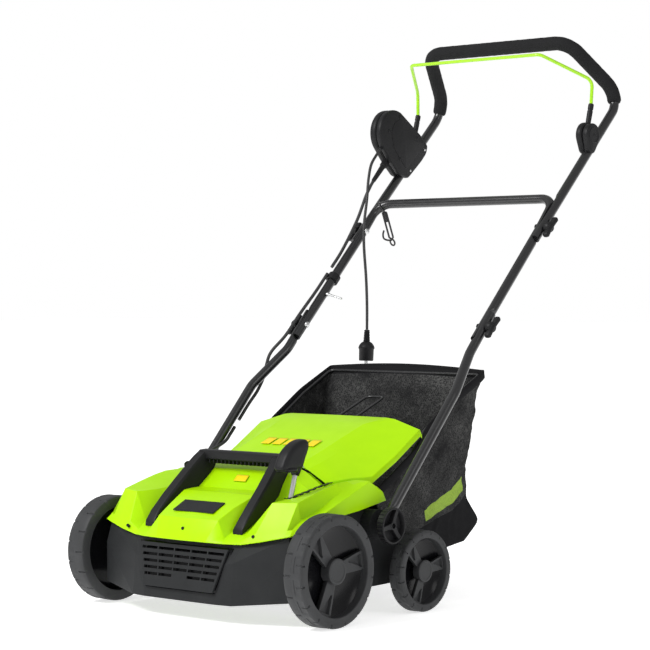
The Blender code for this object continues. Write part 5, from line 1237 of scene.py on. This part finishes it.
def makeBag():
    # side, back and side as one grid of (u, v), with corners, swelling and creases added, and a floor
    nSide, nBack = bag["alongSide"], bag["alongBack"]
    v = np.linspace(0, 1, bag["down"])[:, None]
    u = np.linspace(0, 1, nSide)[None, :]
    ySide, zSide = bagSide(u, v)
    xSide = bag["half"] - 0.006 * v + 0.0 * u
    share = np.linspace(1, -1, nBack + 2)[1:-1][None, :]
    yBack, zBack = bagSide(np.ones_like(share), v)
    x = np.concatenate([xSide, (bag["half"] - 0.006 * v) * share, -xSide[:, ::-1]], axis=1)
    y = np.concatenate([ySide, yBack + 0 * share, ySide[:, ::-1]], axis=1)
    z = np.concatenate([zSide, zBack + 0 * share, zSide[:, ::-1]], axis=1)
    uMap = np.concatenate([u + 0 * v, 1 + (1 - share) / 2 + 0 * v, 2 + (1 - u[:, ::-1]) + 0 * v], axis=1)
    # round the upright corners, then let the cloth swell between its edges
    k = np.arange(x.shape[1])
    for corner in (nSide - 1, nSide + nBack):
        near = np.exp(-((k - corner) / 2.2) ** 2)[None, :]
        pull = near * 0.002
        x = x - np.sign(x) * pull
        y = y - pull
    bulge = np.sin(np.pi * np.clip(v, 0, 1)) ** 0.7
    sideShare = np.clip(k / (nSide - 1), 0, 1) * (k < nSide) + np.clip((x.shape[1] - 1 - k) / (nSide - 1), 0,
                                                                       1) * (k >= nSide + nBack)
    onSide = (k < nSide) | (k >= nSide + nBack)
    swell = np.where(onSide, np.sin(np.pi * np.clip(sideShare, 0, 1)) ** 0.8, 0.0)[None, :] * bulge
    x = x - np.sign(x) * swell * 0.004
    backShare = np.where(onSide, 0.0, np.sin(np.pi * (k - nSide) / (nBack + 1)))[None, :]
    y = y - backShare * bulge * 0.012
    z = z + backShare * (1 - v) ** 6 * 0.008
    crease = folds(uMap * 3.0, v * 2.0 + 0 * uMap, 7) * (np.clip(v / 0.10, 0, 1) * np.clip((1 - v) / 0.06, 0,
                                                                                           1))
    x = x + np.where(onSide[None, :], np.sign(x) * crease * 0.011, 0)
    y = y + np.where(onSide[None, :], 0, crease * 0.012)
    wall = np.stack([x, y - midY, z], -1)
    wallShape = grid(wall)
    # the floor joins the wall's lower edge from side to side and closes at the back
    right, left = wall[-1, :nSide], wall[-1, ::-1][:nSide]
    cross = np.linspace(0, 1, 26)[None, :, None]
    floorGrid = right[:, None] * (1 - cross) + left[:, None] * cross
    sag = np.sin(np.pi * cross[..., 0]) * np.linspace(0.3, 1, nSide)[:, None] * np.linspace(1, 0.0, nSide)[:,
            None] * 0.012
    floorGrid[..., 2] -= sag
    back = wall[-1, nSide - 1:nSide + nBack + 1]
    floorGrid[-1] = np.stack([np.interp(np.linspace(0, 1, 26), np.linspace(0, 1, len(back)),
                                        back[:, c]) for c in range(3)], -1)
    floorShape = grid(floorGrid)
    for name, shape, uv in (("bagWall", wallShape, np.stack([uMap, v + 0 * uMap], -1)),
                                       ("bagFloor", floorShape,
                                        np.stack([np.linspace(0, 1, nSide)[:, None] + 0 * cross[..., 0],
                                                  0.97 + 0 * cross[..., 0] * np.ones((nSide, 1))], -1))):
        made = piece(name, shape, cloth, "deck", ["grass_bag"] if name == "bagWall" else [],
                     smooth=60)
        mesh = made.data
        index = np.empty(len(mesh.loops), int)
        mesh.loops.foreach_get("vertex_index", index)
        panel = mesh.uv_layers.new(name="panel")
        panel.data.foreach_set("uv", uv.reshape(-1, 2)[index].ravel())
        metric = np.stack([uv[..., 0] * 0.40, uv[..., 1] * 0.32],
                          -1) if name == "bagWall" else np.stack([uv[..., 0] * 0.35,
                                  cross[..., 0] * 0.39 * np.ones((nSide, 1))], -1)
        metres = mesh.uv_layers.new(name="metres")
        metres.data.foreach_set("uv", metric.reshape(-1, 2)[index].ravel())
        shell = made.modifiers.new("wall", "SOLIDIFY")
        shell.thickness, shell.offset = bag["thick"], 0.0
        if name == "bagWall":
            wallPiece = made
        else:
            floorPiece = made
    # a taped rim: a flat hem that wraps the wall's top edge
    rim = wall[0]
    a, b = superSection(16, 2.4)
    points, alongRim, _, _ = frames(rim)
    outward = np.cross(alongRim, [0.0, 0.0, 1.0])
    outward /= np.linalg.norm(outward, axis=1)[:, None]
    outward *= np.sign((outward * (rim - [0.0, 0.38 - midY, 0.0])).sum(1))[:, None]
    up = np.cross(outward, alongRim)
    up *= np.sign(up[:, 2])[:, None]
    rows = points[:, None] + outward[:, None] * (a * 0.0030)[None, :, None] + up[:, None] * (b * 0.0085)[None,
            :, None] - up[:, None] * 0.006
    piece("bagHem", grid(rows, wrap=True, caps=True), tape, "deck", smooth=60)
    return wallPiece, floorPiece


def tapeCloth():
    # cloudy twill
    made = Finish("bagTape", 0.8, specular=0.12)
    where = made.place()
    twill = made.node("TexWave", {"wave_type": "BANDS", "bands_direction": "DIAGONAL"}, out=1, Vector=where,
                      Scale=260.0, Distortion=1.0)
    cloud = made.noise(where, 40.0, 5.0)
    made.feed("Base Color", made.mix(cloud, (0.006, 0.006, 0.007, 1), (0.014, 0.014, 0.015, 1)))
    made.feed("Roughness", 0.72 + cloud * 0.2)
    made.bump(twill + cloud, 0.4, 0.0007)
    return made.material


tape = tapeCloth()
bagWall, bagFloor = makeBag()


def makeBagFrame():
    # round wires carried along rounded routes through the rim's corners
    def spot(u, inset, side):
        y, z = bagSide(np.array([u]), np.array([0.0]))
        return (side * (bag["half"] - 0.0075), float(y[0]) - inset, float(z[0]) - 0.007)

    half = [spot(u, i, 1.0) for u, i in ((1.0, 0.0075), (0.73, 0.0), (0.46, 0.0), (0.36, 0.0), (0.16, 0.0))]
    loop = half[::-1] + [(-x, y, z) for x, y, z in half]
    y, z = spot(0.40, 0.0, 1.0)[1:]
    legs = [(0.022, y, z), (0.022, 0.366, 0.3410), (0.022, 0.460, 0.3790)]
    routes = [(roundedRoute(loop, 0.008), 0.003), ([(0.1915, y, z), (-0.1915, y, z)], 0.003),
              (roundedRoute(legs + [(-a, b, c) for a, b, c in legs[::-1]], [0.012, 0.010, 0.010, 0.012]),
               0.0025)]
    wires = [tube(shifted(evenly(np.array(r), 0.006)), radius, 14) for r, radius in routes]
    piece("bagFrameWire", combine(wires), paint, "deck", ["bag_frame"], smooth=60)


makeBagFrame()
print("bag made")

# ---- cable hook and clip
hook = {"eye": (-0.2179, 0.7457, 0.7699), "axis": (0.7660, 0.4230, 0.4840), "wire": 0.0018}


def makeHook():
    # round wires: a ring round the tube's bend, a strap of two bars, an eye and a side hook
    eye, axis = shifted(hook["eye"]), np.array(hook["axis"]) / np.linalg.norm(hook["axis"])
    down = np.array([0, 0, -1.0]) + axis * axis[2]
    down /= np.linalg.norm(down)
    side = np.cross(axis, down)
    ringR = handle["radius"] + hook["wire"] + 0.0009
    turns = np.radians(np.linspace(-165, 165, 50))[:, None]
    ring = tube(eye + down * ringR * np.cos(turns) + side * ringR * np.sin(turns), hook["wire"], 14)
    fall = np.array([0.20, 0.17, -0.965])
    fall /= np.linalg.norm(fall)
    across = np.array([0.759, 0.651, 0.0])
    top = eye + down * (ringR + 0.0006)
    parts = [ring]
    # two bars of the strap joined at both ends, and an eye at the foot
    outline = [(-0.0042, 0.0), (0.0042, 0.0), (0.0042, 0.0560), (0.0, 0.0600), (-0.0042, 0.0560)]
    loop = np.array([top + across * w + fall * d for w, d in outline + outline[:1]])
    parts.append(tube(evenly(loop, 0.002), 0.0021, 12))
    parts.append(tube(np.array([top + fall * 0.001, top + fall * 0.022]), 0.0036, 14))
    foot = top + fall * 0.0600
    turns = np.radians(np.linspace(0, 360, 30))[:, None]
    eyeLoop = foot + fall * 0.0068 + across * 0.0046 * np.sin(turns) - fall * 0.0068 * np.cos(turns)
    parts.append(tube(eyeLoop, 0.0019, 12))
    tip = [foot + fall * 0.002, foot - across * 0.0090 + [0, 0, -0.0020],
           foot - across * 0.0170 + [0, 0, 0.0020],
           foot - across * 0.0185 + [0, 0, 0.0110], foot - across * 0.0165 + [0, 0, 0.0190]]
    parts.append(tube(smoothRoute(tip, 0.0015), 0.0020, 12))
    piece("leadHook", combine(parts), paint, "lead_hook", ["cable_hook"], smooth=60)


makeHook()

# ---- painted shade: a dark wall behind the grille's slots, standing in for the shaded inside of the housing
grilleShade = {"half": (0.094, 0.116), "front": (-0.0950, -0.0785), "low": 0.048, "high": 0.134}
u, v = np.meshgrid(np.linspace(-1, 1, 12), np.linspace(0, 1, 5), indexing="ij")
rows = np.stack([u * np.interp(v, [0, 1], grilleShade["half"]), np.interp(v, [0, 1], grilleShade["front"]),
                 grilleShade["low"] + (grilleShade["high"] - grilleShade["low"]) * v], -1)
wall = piece("grilleShadeWall", grid(shifted(rows)), dishAndShadeBlack, "deck", smooth=60)
shell = wall.modifiers.new("wall", "SOLIDIFY")
shell.thickness, shell.offset = 0.0015, 0.0

# ---- CAD nodes that keep their shape
repaint(dark, "lower_housing", "front_grille", "name_panel", "reel_guard", "reel_pulley")
repaint(black, "motor", "cable_clip")
repaint(steel, "rear_axle", "reel_bearing_left", "reel_bearing_right", "flap_hinge_rod", "front_axle_crank",
        "tine_reel",
        "motor_shaft", "tube_stud")
repaint(rubber, "drive_belt")
